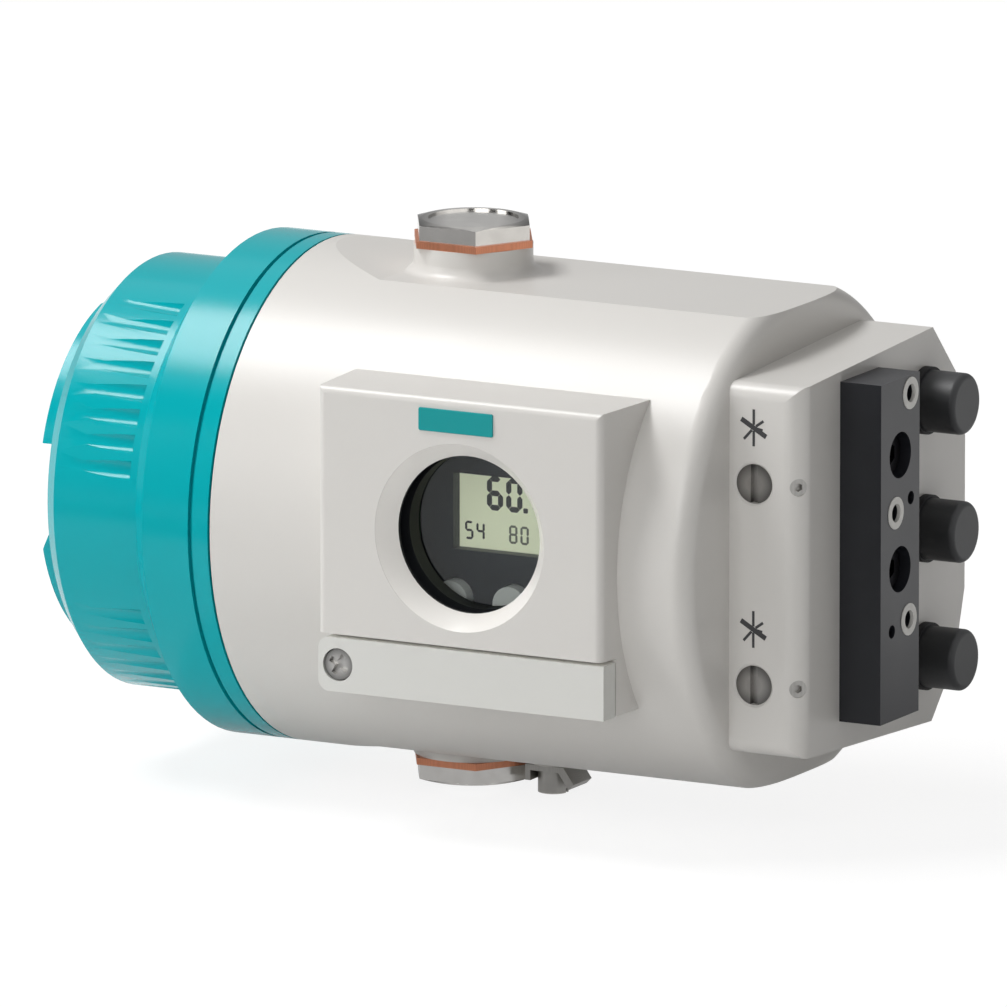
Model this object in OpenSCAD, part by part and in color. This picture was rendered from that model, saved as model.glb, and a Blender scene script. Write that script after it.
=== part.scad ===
// Valve positioner in a flameproof cast housing.
// The origin is on the feedback shaft's axis at the rear mounting face.
// +X runs along the housing to its pneumatic end, +Y out of the back, +Z up.

/* [Housing] */
// Outside diameter of the round housing
body_d = 132; // [124:1:144]
// Length of the housing from the cover seam to its flat end
body_l = 138.3; // [132:0.1:150]
// Wall of the housing round the wiring space
body_wall = 9; // [7:0.5:10]
// Thickness of the end wall at the pneumatic end
end_wall = 10; // [7:0.5:13]
// Distance from the housing's axis to the rear mounting face
rear_y = 50; // [47:0.5:53]
// Thickness of the rear wall
rear_wall = 12; // [11:0.5:13]
// Length of the full round rim beside the cover
rim_l = 12; // [8:1:16]
// Distance from the cover seam to the shaft and window axis
seam_to_window = 76.8; // [74:0.2:80]
// Rounding of the housing's flat end
end_round = 5; // [2:0.5:7]
// Depth of the flats on the housing's top and bottom
flat_depth = 4.5; // [2:0.1:7]
// Distance from the cover seam to the foot of the flats' slopes
flat_start = 27; // [22:1:34]
// Fillet round the foot of each entry boss
entry_fillet = 3; // [1:0.5:4]

/* [Screw cover] */
// Gap at the seam between the cover and the housing
seam_gap = 0.7; // [0.4:0.1:1.2]
// Length of the cover from the seam to its end face
cover_l = 55.2; // [52:0.2:60]
// Width of the lip beside the seam
lip_l = 5.3; // [4:0.1:7]
// Width of the groove behind the lip
lip_groove_w = 1.2; // [0.8:0.1:2]
// Depth of the groove behind the lip
lip_groove_depth = 1.5; // [0.8:0.1:2]
// Length of the wide ring, measured from the seam
ring_l = 20; // [18:0.2:22]
// Length of the cone between the wide ring and the grip
shoulder_l = 7; // [5:0.2:9]
// Diameter of the fluted grip
grip_d = 113.4; // [110:0.2:118]
// Wall of the cover
cover_wall = 6.5; // [5:0.5:8]
// Bevel of the cover's rim
rim_bevel = 4; // [2:0.5:6]
// Length of the threaded neck inside the cover
neck_l = 16; // [12:0.5:17]
// Wall of the threaded neck
neck_wall = 4; // [3:0.5:5]
// Radial clearance of the cover on the neck
neck_gap = 0.3; // [0.2:0.05:0.5]
// Thickness of the cover's O-ring
o_ring_d = 2.6; // [2:0.1:3]
// Height of the key lugs on the end face
lug_h = 5.5; // [4:0.5:9]
// Outside diameter of the ring of key lugs
lug_od = 95; // [90:1:100]
// Inside diameter of the ring of key lugs
lug_id = 75; // [66:1:80]
// Width of the gaps between the key lugs at the end face
lug_gap = 18; // [12:1:22]
// Width of the slope at one side of each gap
lug_slope = 10; // [4:1:14]
// Flutes in one group
flute_n = 8; // [5:1:9]
// Groups of flutes round the grip
flute_groups = 4; // [3:1:5]
// Angle from flute to flute in degrees
flute_pitch = 6.9; // [6:0.1:7.5]
// Radius of a flute
flute_r = 3; // [2.4:0.1:3.4]
// Depth of a flute at its square end
flute_depth = 1.4; // [0.8:0.1:1.8]
// Length of a flute up to its run-out
flute_l = 18; // [12:0.5:20]

/* [Window block] */
// Width of the block at its front face
block_w = 82; // [78:0.5:86]
// Height of the block's top edge above the housing's axis
block_top = 43.4; // [41:0.2:46]
// Depth of the block's bottom edge below the housing's axis
block_bottom = 36.2; // [35:0.2:38]
// Distance from the housing's axis to the front face
face_y = 73.5; // [72:0.2:76]
// Draft of the block's sides in degrees
block_draft = 4; // [1:0.5:7]
// Rounding of the block's front edges
block_round = 2; // [1:0.25:3]
// Height of the window's centre above the housing's axis
window_z = 7.4; // [6.5:0.1:8.5]
// Diameter of the bezel cone at the face
bezel_d = 49; // [46:0.5:51]
// Clear diameter of the window
sight_d = 41; // [38:0.5:43]
// Depth of the bezel cone
bezel_depth = 5.3; // [4:0.1:6]
// Diameter of the glass
glass_d = 52; // [50:0.5:53]
// Thickness of the glass
glass_t = 8; // [6:0.5:9]
// Thickness of the seal in front of the glass
glass_seal_t = 1; // [0.5:0.1:1.5]
// Thickness of the retaining ring behind the glass
retainer_t = 5; // [4:0.5:6]

/* [Button plate and keys] */
// Height of the plate
plate_h = 14.2; // [13.4:0.1:14.6]
// Thickness of the plate
plate_t = 6.3; // [5:0.1:7]
// Gap between the plate and the ledge above it
plate_gap = 0.9; // [0.8:0.1:1.4]
// Gap behind the plate
plate_back_gap = 0.8; // [0.5:0.1:1.2]
// Reach of the plate past the block's right side
plate_over = 0.7; // [0.2:0.1:1]
// Rounding of the plate's corners at the pivot
plate_corner = 3; // [2.5:0.1:4]
// Distance from the plate's left edge to its pivot screw
pivot_inset = 5.65; // [5.3:0.05:6]
// Diameter of the pivot screw's head
pivot_head_d = 8; // [7:0.1:8.6]
// Height of the pivot screw's head
pivot_head_h = 3; // [2:0.1:3.5]
// Diameter of the pivot screw's shank
pivot_d = 5; // [4:0.1:5.5]
// Radial running clearance of pivots and shafts
run_gap = 0.05; // [0.02:0.01:0.09]
// Spacing of the keys
key_pitch = 17; // [16:0.2:18]
// Diameter of a key
key_d = 9.6; // [8:0.1:10]
// Distance of the keys below the window's centre
key_drop = 22.5; // [21:0.1:23]
// Height of a key above the module's front
key_h = 3; // [2.8:0.1:3.5]
// Distance of the push rods below the window's centre
rod_drop = 34.9; // [34.6:0.1:35.3]
// Diameter of a push rod
rod_d = 6; // [5:0.1:7]
// Diameter of a push rod's head and collar
rod_head_d = 9; // [8:0.1:9.2]
// Travel of a key
key_travel = 2; // [1.5:0.1:2.2]

/* [Display module] */
// Distance from the front face to the module's front
module_depth = 33; // [31:0.5:35]
// Width of the module
module_w = 53; // [50:0.5:55]
// Height of the module
module_h = 60; // [59:0.5:61]
// Bevel of the module's corners
module_bevel = 4; // [3:0.5:5]
// Height of the raised panel round the display
panel_h = 1.5; // [1:0.1:2]
// Distance of the raised panel's lower edge below the window's centre
panel_drop = 16.8; // [14:0.1:16.9]
// Bevel of the raised panel's lower corners
panel_bevel = 7; // [5:0.5:8]
// Wall of the module
module_wall = 2; // [1.5:0.1:2.5]
// Width of the display's clear area
lcd_w = 34; // [30:0.5:36]
// Height of the display's clear area
lcd_h = 20; // [16:0.5:21]
// Height of the display's centre above the window's centre
lcd_rise = 0.5; // [0:0.1:1]
// Thickness of the display panel
lcd_t = 2; // [1.5:0.1:3]

/* [Cable entries and earth] */
// Distance from the cover seam to the cable entries
entry_x = 41.6; // [40:0.2:44]
// Diameter of the entry bosses
entry_d = 31; // [29:0.5:34]
// Height of the upper entry's face above the housing's round
entry_rise = 2.7; // [2:0.1:5]
// Height of the lower entry's face above the housing's round
lower_entry_rise = -0.4; // [-1:0.1:4]
// Thread diameter of the blanking plugs
entry_thread_d = 20; // [18:0.5:22]
// Thickness of the copper washers
washer_t = 1.8; // [1.2:0.1:2.4]
// Size of the six-sided washers across their flats
washer_af = 30; // [28:0.5:31]
// Size of the plugs' hexagon across its flats
hex_af = 28.5; // [24:0.5:29]
// Height of the plugs' hexagon
hex_h = 4.7; // [4:0.1:7]
// Distance from the cover seam to the earth terminal
earth_x = 65; // [63:0.5:68]
// Diameter of the earth screw's shank
earth_d = 4; // [3:0.5:5]
// Height of the pad that carries the earth terminal above the lower flat
earth_pad_h = 4.9; // [3:0.1:7]
// Height of the earth clamp's saddle
earth_clamp_h = 4.2; // [3.5:0.1:5]
// Thickness of the earth clamp's sheet
earth_clamp_t = 1.5; // [1:0.1:2]
// Height of the earth screw's head
earth_head_h = 6.1; // [4:0.1:7]

/* [Pneumatic end] */
// Length of the pneumatic boss
boss_l = 20.7; // [19:0.1:23]
// Distance from the housing's axis to the boss's front
boss_y = 42.4; // [41:0.2:44]
// Half height of the boss at its front
boss_z = 48.4; // [47:0.2:49]
// Growth of the boss's half height towards its back
boss_rise = 3.4; // [0:0.2:5]
// Rounding of the boss's front edge
boss_round = 5; // [3:0.25:6]
// Rounding of the boss's upper and lower front edges
boss_corner = 4; // [2:0.25:6]
// Diameter of the throttle screws
throttle_d = 10.2; // [9.4:0.1:11]
// Distance from the boss's foot to the throttle screws
throttle_x = 6.9; // [6.5:0.1:8]
// Height of the upper throttle screw
throttle_upper_z = 22.5; // [20:0.5:25]
// Height of the lower throttle screw
throttle_lower_z = -30; // [-33:0.5:-27]
// Length of the throttle screws
throttle_l = 16; // [14:0.5:22]
// Width of the throttle screws' slots
slot_w = 2.1; // [1.4:0.1:2.4]
// Diameter of the throttle lock screws
lock_d = 4.6; // [4:0.1:5]
// Distance between the port plugs
port_pitch = 33.6; // [32:0.2:35]
// Distance of the ports behind the housing's axis
port_y = 26; // [25:0.5:27]
// Diameter of the port plugs' threads
port_thread_d = 11.8; // [10:0.1:13]
// Length of the port plugs' threads
port_thread_l = 10; // [8:0.5:12]
// Diameter of the port plugs' heads
port_head_d = 16; // [15:0.1:17]
// Length of the heads
port_head_l = 10.5; // [9:0.1:12]
// Rounding of the heads' outer edge
port_head_round = 1.5; // [0.5:0.1:3]
// Outside diameter of the port plugs' seals
port_seal_d = 17.6; // [17.2:0.1:19]
// Thickness of the port plugs' seals
port_seal_t = 2; // [1.5:0.1:2.5]

/* [Connection block] */
// Thickness of the connection block
conn_t = 11.8; // [10:0.1:13]
// Height of the connection block
conn_h = 88.7; // [86:0.1:90]
// Height of the block's centre above the housing's axis
conn_z = 2.35; // [1:0.05:3]
// Width of the connection block
conn_w = 21.5; // [20:0.1:23]
// Distance from the housing's axis to the block's front
conn_y = 21; // [20:0.2:22]
// Diameter of the sunk holes for the block's screws
sunk_d = 12; // [11:0.1:12.4]
// Diameter of the block's screws
conn_screw_d = 6; // [5:0.5:6]
// Height of the block's screw heads
conn_head_h = 6; // [4:0.5:7]
// Outside diameter of the port seal rings
seal_ring_d = 8.4; // [7:0.1:9]
// Diameter of the test ports inside the seal rings
seal_bore_d = 4.8; // [3:0.1:5.4]
// Depth of the port seal rings
seal_ring_depth = 0.8; // [0.6:0.1:2.5]

/* [Feedback drive] */
// Diameter of the shaft's free end
shaft_d = 8; // [6:0.1:9]
// Length of the shaft's free end
shaft_free_l = 14; // [10:0.5:20]
// Diameter of the shaft's journal
journal_d = 10; // [9.4:0.1:11]
// Wall of the shaft's bush
bush_wall = 3; // [2:0.1:4]
// Module of the gears
gear_module = 1; // [0.9:0.05:1.1]
// Teeth of the drive gear
drive_teeth = 48; // [44:4:52]
// Teeth of the potentiometer's pinion
pinion_teeth = 16; // [16:2:18]
// Width of the drive gear
gear_w = 4; // [3:0.1:5]
// Thinning of each tooth for play
tooth_play = 0.16; // [0.1:0.01:0.25]
// Diameter of the potentiometer
pot_d = 20; // [18:0.5:22]
// Length of the potentiometer
pot_l = 11; // [9:0.5:12]
// Diameter of the potentiometer's shaft
pot_shaft_d = 4; // [3:0.1:5]

/* [Carrier and electronics] */
// Distance from the rear wall to the carrier plate
post_l = 17; // [16:0.5:18]
// Diameter of the cast posts
post_d = 9; // [8:0.5:10]
// Spacing of the posts along the housing
post_pitch_x = 76; // [74:0.5:78]
// Spacing of the posts in height
post_pitch_z = 60; // [57:0.5:62]
// Thickness of the carrier plate
carrier_t = 3; // [2:0.1:4]
// Diameter of the carrier screws
carrier_screw_d = 4; // [3:0.5:4.5]
// Length of the pillars under the circuit board
pillar_l = 14; // [13.5:0.1:15]
// Diameter of the pillars
pillar_d = 6; // [5:0.5:7]
// Thickness of the circuit board
board_t = 1.6; // [1:0.1:2.4]
// Spacing of the terminals
terminal_pitch = 8; // [7:0.5:9]
// Number of terminals
terminal_n = 6; // [4:1:7]
// Width of the valve block
valve_w = 44; // [38:1:46]
// Height of the valve block
valve_h = 58; // [50:1:60]
// Gap between the display module and the valve block
valve_gap = 6; // [4:0.5:9]
// Distance from the housing's axis to the valve block's front
valve_reach = 43; // [40:0.5:44]

/* [Rear mount] */
// Spacing of the mounting holes along the housing
mount_pitch_x = 60; // [54:0.5:64]
// Spacing of the mounting holes in height
mount_pitch_z = 29; // [26:0.5:34]
// Tapping diameter of the mounting holes
mount_hole_d = 5; // [4:0.1:5.5]
// Depth of the mounting holes
mount_hole_depth = 9; // [7:0.5:10]

/* [Hidden] */
$fn = 96;
// Reach of a cutting body past the face that it opens
past = 1;
// Clearance of loose pieces on different bodies
loose = 0.3;
// Clearance of a fixed piece in its seat
seat_gap = 0.02;

body_r = body_d / 2;
flat_z = body_r - flat_depth;
flat_lead = 3;
cavity_r = body_r - body_wall;
axis_y = -rear_y;
seam_x = -seam_to_window;
end_x = seam_x + body_l;
boss_x = end_x + boss_l;
inner_end_x = end_x - end_wall;
inner_rear_y = -rear_wall;
rim_step_wall = 8;

neck_r = cavity_r + neck_wall;
thread_r = neck_r + neck_gap;
grip_r = grip_d / 2;
cover_mouth_x = seam_x - seam_gap;
cover_end_x = seam_x - cover_l;
ring_x = seam_x - ring_l;
grip_x = ring_x - shoulder_l;
o_ring_r = o_ring_d / 2;
o_ring_x = seam_x - loose - o_ring_r;
o_ring_outer_r = neck_r + o_ring_d + 2 * loose;
mouth_x = seam_x + rim_l - rim_step_wall;
// Angle of the first group of flutes from the rear towards the top
flute_start = 54;
flute_inset = 2;
flute_tilt = atan(flute_depth / flute_l);
lug_n = 4;
// Height of the upright side of the gap that faces the front
lug_gap_z = 14;

front_y = axis_y - face_y;
glass_seat_y = front_y + bezel_depth;
glass_y = glass_seat_y + glass_seal_t;
retainer_y = glass_y + glass_t;
glass_gap = 0.25;
// Shares of the wiring space's radius at which the front bores end and the block's root lies
tunnel_share = 0.7;
root_share = 0.75;
tunnel_end_y = axis_y - cavity_r * tunnel_share;
block_depth = face_y - cavity_r * root_share;

pivot_x = -block_w / 2 + pivot_inset;
plate_bottom_z = -block_bottom;
plate_top_z = plate_bottom_z + plate_h;
ledge_z = plate_top_z + plate_gap;
pivot_z = (plate_top_z + plate_bottom_z) / 2;
plate_back_y = front_y + plate_t;
rebate_y = plate_back_y + plate_back_gap;
pivot_sunk = 0.6;
pivot_seat_y = front_y + pivot_head_h + pivot_sunk;
pivot_slot_angle = 30;
pivot_thread_l = 10;
pivot_cross_l = 5.6;
pivot_slot_w = 1.5;

module_y = front_y + module_depth;
key_z = window_z - key_drop;
key_face_y = module_y - key_h;
key_depth = 7.5;
rod_z = window_z - rod_drop;
rod_head_h = 2;
rod_sunk = 0.5;
rod_guide_l = 9.7;
rod_tip_y = rebate_y + rod_sunk;
rod_pocket_d = rod_head_d + 1;
rod_pocket_y = rod_tip_y + rod_head_h + key_travel + rod_sunk;
rod_collar_y = rod_pocket_y + rod_guide_l;
tongue_t = 2;
tongue_lap = 1.4;
rod_collar_t = 1.5;
lcd_rim = 2;
lcd_z = window_z + lcd_rise;

plate_y = inner_rear_y - post_l;
carrier_front_y = plate_y - carrier_t;
board_y = carrier_front_y - pillar_l;
board_front_y = board_y - board_t;
carrier_left_x = -52;
carrier_end_gap = 6.5;
carrier_right_x = inner_end_x - carrier_end_gap;
carrier_z = 44;
carrier_corner = 4;
carrier_thread_l = 8;
carrier_head_h = 2.5;
carrier_head_d = 7.2;
// Places and sizes of the board's chips and connector: centre x, centre z, width, height, rise
board_pieces = [[-5, -7, 14, 14, 4], [13, -1, 10, 10, 3], [0, 17, 32, 6, 9]];
terminal_h = 16;
terminal_l = 16;
terminal_screw_d = 5;
terminal_screw_l = 10;
terminal_screw_rise = 11.5;
terminal_screw_y = carrier_front_y - terminal_screw_rise;
terminal_sunk = 0.6;
small_slot_w = 1;
small_slot_depth = 1.2;
wire_hole_w = 4;
wire_hole_l = 9;
wire_hole_rise = 2.5;
valve_y = axis_y - valve_reach;
valve_x = module_w / 2 + valve_gap;
valve_cap_l = 2.5;
valve_cap_d = 18;
pillar_x = module_w / 2 - pillar_d / 2 - module_wall;
pillar_z = module_h / 2 - pillar_d / 2 - module_wall;

entry_pos_x = seam_x + entry_x;
// Height of the entries' faces from the axis: upper, lower
entry_z = [body_r + entry_rise, body_r + lower_entry_rise];
earth_pos_x = seam_x + earth_x;
earth_pad_d = 11.2;
earth_pad_z = flat_z + earth_pad_h;
earth_clamp_w = 10;
earth_lip_reach = 3;
earth_tip_z = -cavity_r - 3;
entry_shank_l = 14;
entry_dish = 0.5;
entry_dish_rim = 2.5;
throttle_pos_x = end_x + throttle_x;
boss_front_y = axis_y - boss_y;
boss_back_y = -0.5;
boss_flat_z = 20;
boss_step_y = 5.5;
boss_step_z = 10.4;
boss_slant_y = 18.5;
throttle_sunk = 0.6;
slot_depth = 1.6;
lock_reach = 1.4;
lock_sunk = 0.4;
lock_key_depth = 1.5;
lock_angle = 45;
port_pos_y = axis_y + port_y;
conn_x = boss_x + conn_t;
conn_front_y = axis_y - conn_y;
conn_mid_y = conn_front_y + conn_w / 2;
conn_head_sunk = 3;
conn_seat_x = conn_x - conn_head_h - conn_head_sunk;
conn_thread_l = 11;
// Heights of the block's screws, and places of its seal rings and vents from its middle line
conn_screw_z = [26.8, -3];
seal_ring_at = [[5.6, 42], [-2.5, 12.1], [5, -17]];
vent_at = [[6, 14.6], [-4.4, -18.6]];
vent_d = 3.5;
seal_ring_proud = 0.2;

pressure_angle = 20;
tooth_tip = 0.9;
tooth_root = 1.2;
pinion_z = -gear_module * (drive_teeth + pinion_teeth) / 2;
bush_r = journal_d / 2 + bush_wall;
bush_flange_t = 2;
gear_hub_l = 1.5;
gear_y = inner_rear_y - bush_flange_t - loose - gear_hub_l;
gear_hole_at = 15.5;
gear_hole_d = 6;
gear_hole_n = 6;
journal_proud = 0.5;
pot_shaft_in = 8;
pot_lug_w = 2;
pot_lug_t = 1;
pot_lug_l = 4;
pot_lug_pitch = 4;

body_grey = "#d3cfc9";
teal = "#05a9ad";
steel = "#b5a9a2";
dark = "#2b2e33";

// A cylinder along X from x0 to x1.
module along_x(x0, x1, y, z, r) {
    translate([x0, y, z]) rotate([0, 90, 0]) cylinder(h = x1 - x0, r = r);
}

// A cylinder along Y from y0 to y1.
module along_y(y0, y1, x, z, r) {
    translate([x, y0, z]) rotate([-90, 0, 0]) cylinder(h = y1 - y0, r = r);
}

// A cylinder along Z from z0 to z1.
module along_z(z0, z1, x, y, r) {
    translate([x, y, z0]) cylinder(h = z1 - z0, r = r);
}

// A box between two opposite corners.
module box(low, high) {
    translate(low) cube(high - low);
}

// A shape turned about the housing's axis: the outline's x runs along X, its y is the radius.
module turned() {
    translate([0, axis_y, 0]) rotate([0, 90, 0]) rotate_extrude() rotate(90) mirror([0, 1]) children();
}

// An outline in XY carried from z0 to z1.
module upright(z0, z1) {
    translate([0, 0, z0]) linear_extrude(z1 - z0) children();
}

// An outline in YZ carried from x0 to x1.
module lengthwise(x0, x1) {
    translate([x0, 0, 0]) rotate([90, 0, 90]) linear_extrude(x1 - x0) children();
}

// An outline in XZ carried from y0 to y1.
module crosswise(y0, y1) {
    translate([0, y1, 0]) rotate([90, 0, 0]) linear_extrude(y1 - y0) children();
}

// A rectangle with round corners between two opposite corners.
module round_rect(low, high, r) {
    translate([low[0] + r, low[1]]) square([high[0] - low[0] - 2 * r, high[1] - low[1]]);
    translate([low[0], low[1] + r]) square([high[0] - low[0], high[1] - low[1] - 2 * r]);
    for (x = [low[0] + r, high[0] - r], y = [low[1] + r, high[1] - r]) translate([x, y]) circle(r);
}

// A block's outline with drafted sides and round front corners: front at y = 0, back at y = depth.
module drafted(left, right, depth, r, draft) {
    inset = r * (tan(draft) - 1 / cos(draft));
    foot = depth * tan(draft);
    polygon([
        [left - inset, 0], [right + inset, 0],
        [right + inset + r * cos(draft), r - r * sin(draft)], [right + foot, depth],
        [left - foot, depth], [left - inset - r * cos(draft), r - r * sin(draft)]]);
    for (x = [left - inset, right + inset]) translate([x, r]) circle(r);
}

// A hexagon head with a chamfered top, standing on z = 0.
module hex_head(af, h) {
    corner_r = af / sqrt(3);
    chamfer = 0.8;
    intersection() {
        cylinder(h = h, r = corner_r, $fn = 6);
        union() {
            cylinder(h = h - chamfer, r = corner_r + past);
            translate([0, 0, h - chamfer]) cylinder(h = chamfer, r1 = corner_r, r2 = af / 2 - chamfer);
        }
    }
}

// Angle between the flank's point at radius r and the tooth's centre line at the base circle.
function roll(a) = tan(a) * 180 / PI - a;
function flank_angle(r, pitch_r, half) =
    half + roll(pressure_angle) - roll(acos(min(1, pitch_r * cos(pressure_angle) / r)));

// The outline of a spur gear with involute flanks and a tooth centred on its x axis.
module gear_outline(teeth) {
    pitch_r = gear_module * teeth / 2;
    half = 90 / teeth - tooth_play / 2 / pitch_r * 180 / PI;
    base_r = pitch_r * cos(pressure_angle);
    tip_r = pitch_r + tooth_tip * gear_module;
    root_r = pitch_r - tooth_root * gear_module;
    start_r = max(base_r, root_r + (tooth_root - 1) * gear_module);
    radii = [start_r, (start_r + pitch_r) / 2, pitch_r, (pitch_r + tip_r) / 2, tip_r];
    polygon([for (i = [0 : teeth - 1]) let (centre = 360 * i / teeth)
        for (p = concat(
            [[root_r, -flank_angle(start_r, pitch_r, half)]],
            [for (r = radii) [r, -flank_angle(r, pitch_r, half)]],
            [for (k = [4 : -1 : 0]) [radii[k], flank_angle(radii[k], pitch_r, half)]],
            [[root_r, flank_angle(start_r, pitch_r, half)]]))
        p[0] * [cos(centre + p[1]), sin(centre + p[1])]]);
}

// The round body with its rounded end, sloping to flats on top and below, and the threaded neck.
module round_body() {
    difference() {
        turned() {
            translate([seam_x, 0]) square([body_l - end_round, body_r]);
            translate([seam_x, 0]) square([body_l, body_r - end_round]);
            translate([end_x - end_round, body_r - end_round]) circle(end_round);
        }
        for (side = [0, 1]) mirror([0, 0, side]) {
            crosswise(axis_y - body_r, axis_y + body_r) polygon([
                [seam_x + flat_lead, body_r], [seam_x + flat_start, flat_z], [end_x + past, flat_z],
                [end_x + past, body_r + past], [seam_x + flat_lead, body_r + past]]);
        }
    }
    along_x(seam_x - neck_l, seam_x + past, axis_y, 0, neck_r);
}

// The wiring space: full round at the mouth, flat at the rear wall.
module cavity() {
    along_x(seam_x - neck_l - past, mouth_x, axis_y, 0, cavity_r);
    difference() {
        along_x(mouth_x - past, inner_end_x, axis_y, 0, cavity_r);
        box([mouth_x - 2 * past, inner_rear_y, -body_r], [inner_end_x + past, body_r, body_r]);
    }
}

module window_block() {
    intersection() {
        upright(-block_bottom, block_top) translate([0, front_y])
            drafted(-block_w / 2, block_w / 2, block_depth, block_round, block_draft);
        lengthwise(-block_w, block_w) translate([front_y, 0]) mirror([1, 0]) rotate(90)
            drafted(-block_bottom - body_r, block_top, block_depth, block_round, block_draft);
    }
}

// The boss at the pneumatic end: its outline from the end, rounded along its front edges.
module pneumatic_boss() {
    corner_y = boss_front_y + boss_corner;
    corner_z = boss_z - boss_corner;
    intersection() {
        lengthwise(inner_end_x, boss_x) {
            polygon([
                [boss_front_y, -corner_z], [boss_front_y, corner_z], [corner_y, boss_z],
                [boss_back_y - boss_slant_y, boss_z + boss_rise],
                [boss_back_y - boss_step_y, boss_z - boss_step_z],
                [boss_back_y, boss_flat_z], [boss_back_y, -boss_flat_z],
                [boss_back_y - boss_step_y, boss_step_z - boss_z],
                [boss_back_y - boss_slant_y, -boss_z - boss_rise],
                [corner_y, -boss_z]]);
            for (z = [-corner_z, corner_z]) translate([corner_y, z]) circle(boss_corner);
        }
        upright(-body_r, body_r) {
            polygon([
                [inner_end_x, boss_front_y], [boss_x - boss_round, boss_front_y],
                [boss_x, boss_front_y + boss_round], [boss_x, past], [inner_end_x, past]]);
            translate([boss_x - boss_round, boss_front_y + boss_round]) circle(boss_round);
        }
    }
}

// A round boss for a cable entry with a fillet at its foot, on top for side 0 and below for side 1.
module entry_boss(side) {
    mirror([0, 0, side]) {
        along_z(cavity_r / 2, entry_z[side], entry_pos_x, axis_y, entry_d / 2);
        translate([entry_pos_x, axis_y, flat_z]) rotate_extrude() difference() {
            translate([entry_d / 2 - past, -past]) square(entry_fillet + past);
            translate([entry_d / 2 + entry_fillet, entry_fillet]) circle(entry_fillet);
        }
    }
}

module carrier_posts() {
    for (x = [-1, 1], z = [-1, 1]) {
        along_y(plate_y, inner_rear_y + past, x * post_pitch_x / 2, z * post_pitch_z / 2, post_d / 2);
    }
}

// The conical bezel, and behind it the bore for the seal, the glass and the retaining ring.
module window_tunnel() {
    flare = (bezel_d - sight_d) / bezel_depth * past;
    translate([0, front_y - past, window_z]) rotate([-90, 0, 0])
        cylinder(h = bezel_depth + past, d1 = bezel_d + flare, d2 = sight_d);
    along_y(glass_seat_y - past / 2, glass_seat_y + past, 0, window_z, sight_d / 2);
    along_y(glass_seat_y, tunnel_end_y, 0, window_z, glass_d / 2 + glass_gap);
}

module plate_rebate() {
    box([-block_w, front_y - past, -block_bottom - past], [block_w, rebate_y, ledge_z]);
    along_y(rebate_y - past, rebate_y + pivot_thread_l, pivot_x, pivot_z, pivot_d / 2);
}

// A stepped bore for a push rod: outer pocket, guide and inner spot face.
module rod_bore(x) {
    along_y(rebate_y - past, rod_pocket_y, x, rod_z, rod_pocket_d / 2);
    along_y(rebate_y, tunnel_end_y, x, rod_z, rod_d / 2 + run_gap);
    along_y(rod_collar_y - loose, tunnel_end_y, x, rod_z, rod_pocket_d / 2);
}

module entry_bores() {
    for (side = [0, 1]) mirror([0, 0, side]) {
        along_z(cavity_r / 2, entry_z[side] + past, entry_pos_x, axis_y, entry_thread_d / 2);
    }
}

module throttle_bores() {
    for (z = [throttle_upper_z, throttle_lower_z]) {
        along_y(boss_front_y - past, boss_front_y + throttle_l + past, throttle_pos_x, z,
            throttle_d / 2 + run_gap);
        translate([throttle_pos_x, boss_front_y - past, z]) rotate([-90, 0, 0])
            cylinder(h = past + throttle_sunk, r1 = throttle_d / 2 + past + throttle_sunk,
                r2 = throttle_d / 2);
        at_lock(z) cylinder(h = boss_round + lock_reach + 2 * past, r = lock_d / 2);
    }
}

// Turns z to run inwards at the lock screws' angle from past the boss's rounded edge.
module at_lock(z) {
    translate([boss_x - boss_round, boss_front_y + boss_round, z]) rotate([0, 0, -lock_angle])
        rotate([0, -90, 0]) translate([0, 0, -boss_round - past]) children();
}

module mount_holes() {
    for (x = [-1, 1], z = [-1, 1]) {
        along_y(-mount_hole_depth, past, x * mount_pitch_x / 2, z * mount_pitch_z / 2, mount_hole_d / 2);
    }
}

module housing() {
    color(body_grey) difference() {
        union() {
            difference() {
                union() {
                    round_body();
                    window_block();
                    pneumatic_boss();
                    for (side = [0, 1]) entry_boss(side);
                    along_z(-earth_pad_z, -cavity_r, earth_pos_x, axis_y, earth_pad_d / 2);
                }
                cavity();
                box([seam_x + rim_l, 0, -body_d], [boss_x + past, body_d, body_d]);
            }
            carrier_posts();
        }
        window_tunnel();
        plate_rebate();
        for (i = [-1 : 1]) rod_bore(i * key_pitch);
        entry_bores();
        along_z(-earth_pad_z - past, earth_tip_z + past, earth_pos_x, axis_y, earth_d / 2);
        throttle_bores();
        for (i = [-1 : 1]) {
            along_x(boss_x - port_thread_l - past, boss_x + past, port_pos_y, i * port_pitch,
                port_thread_d / 2 + loose);
        }
        for (z = conn_screw_z) {
            along_x(boss_x - conn_thread_l - past, boss_x + past, conn_mid_y, z, conn_screw_d / 2);
        }
        along_y(inner_rear_y - past, past, 0, 0, bush_r);
        mount_holes();
        for (x = [-1, 1], z = [-1, 1]) {
            along_y(plate_y - past, plate_y + carrier_thread_l + past, x * post_pitch_x / 2,
                z * post_pitch_z / 2, carrier_screw_d / 2);
        }
    }
}

// The screw cover: turned outline, fluted grip and castellated key lugs.
module screw_cover() {
    color(teal) difference() {
        union() {
            turned() cover_outline();
            key_lugs();
        }
        for (g = [0 : flute_groups - 1], k = [0 : flute_n - 1]) {
            flute(flute_start + 360 * g / flute_groups + (k - (flute_n - 1) / 2) * flute_pitch);
        }
    }
}

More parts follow.
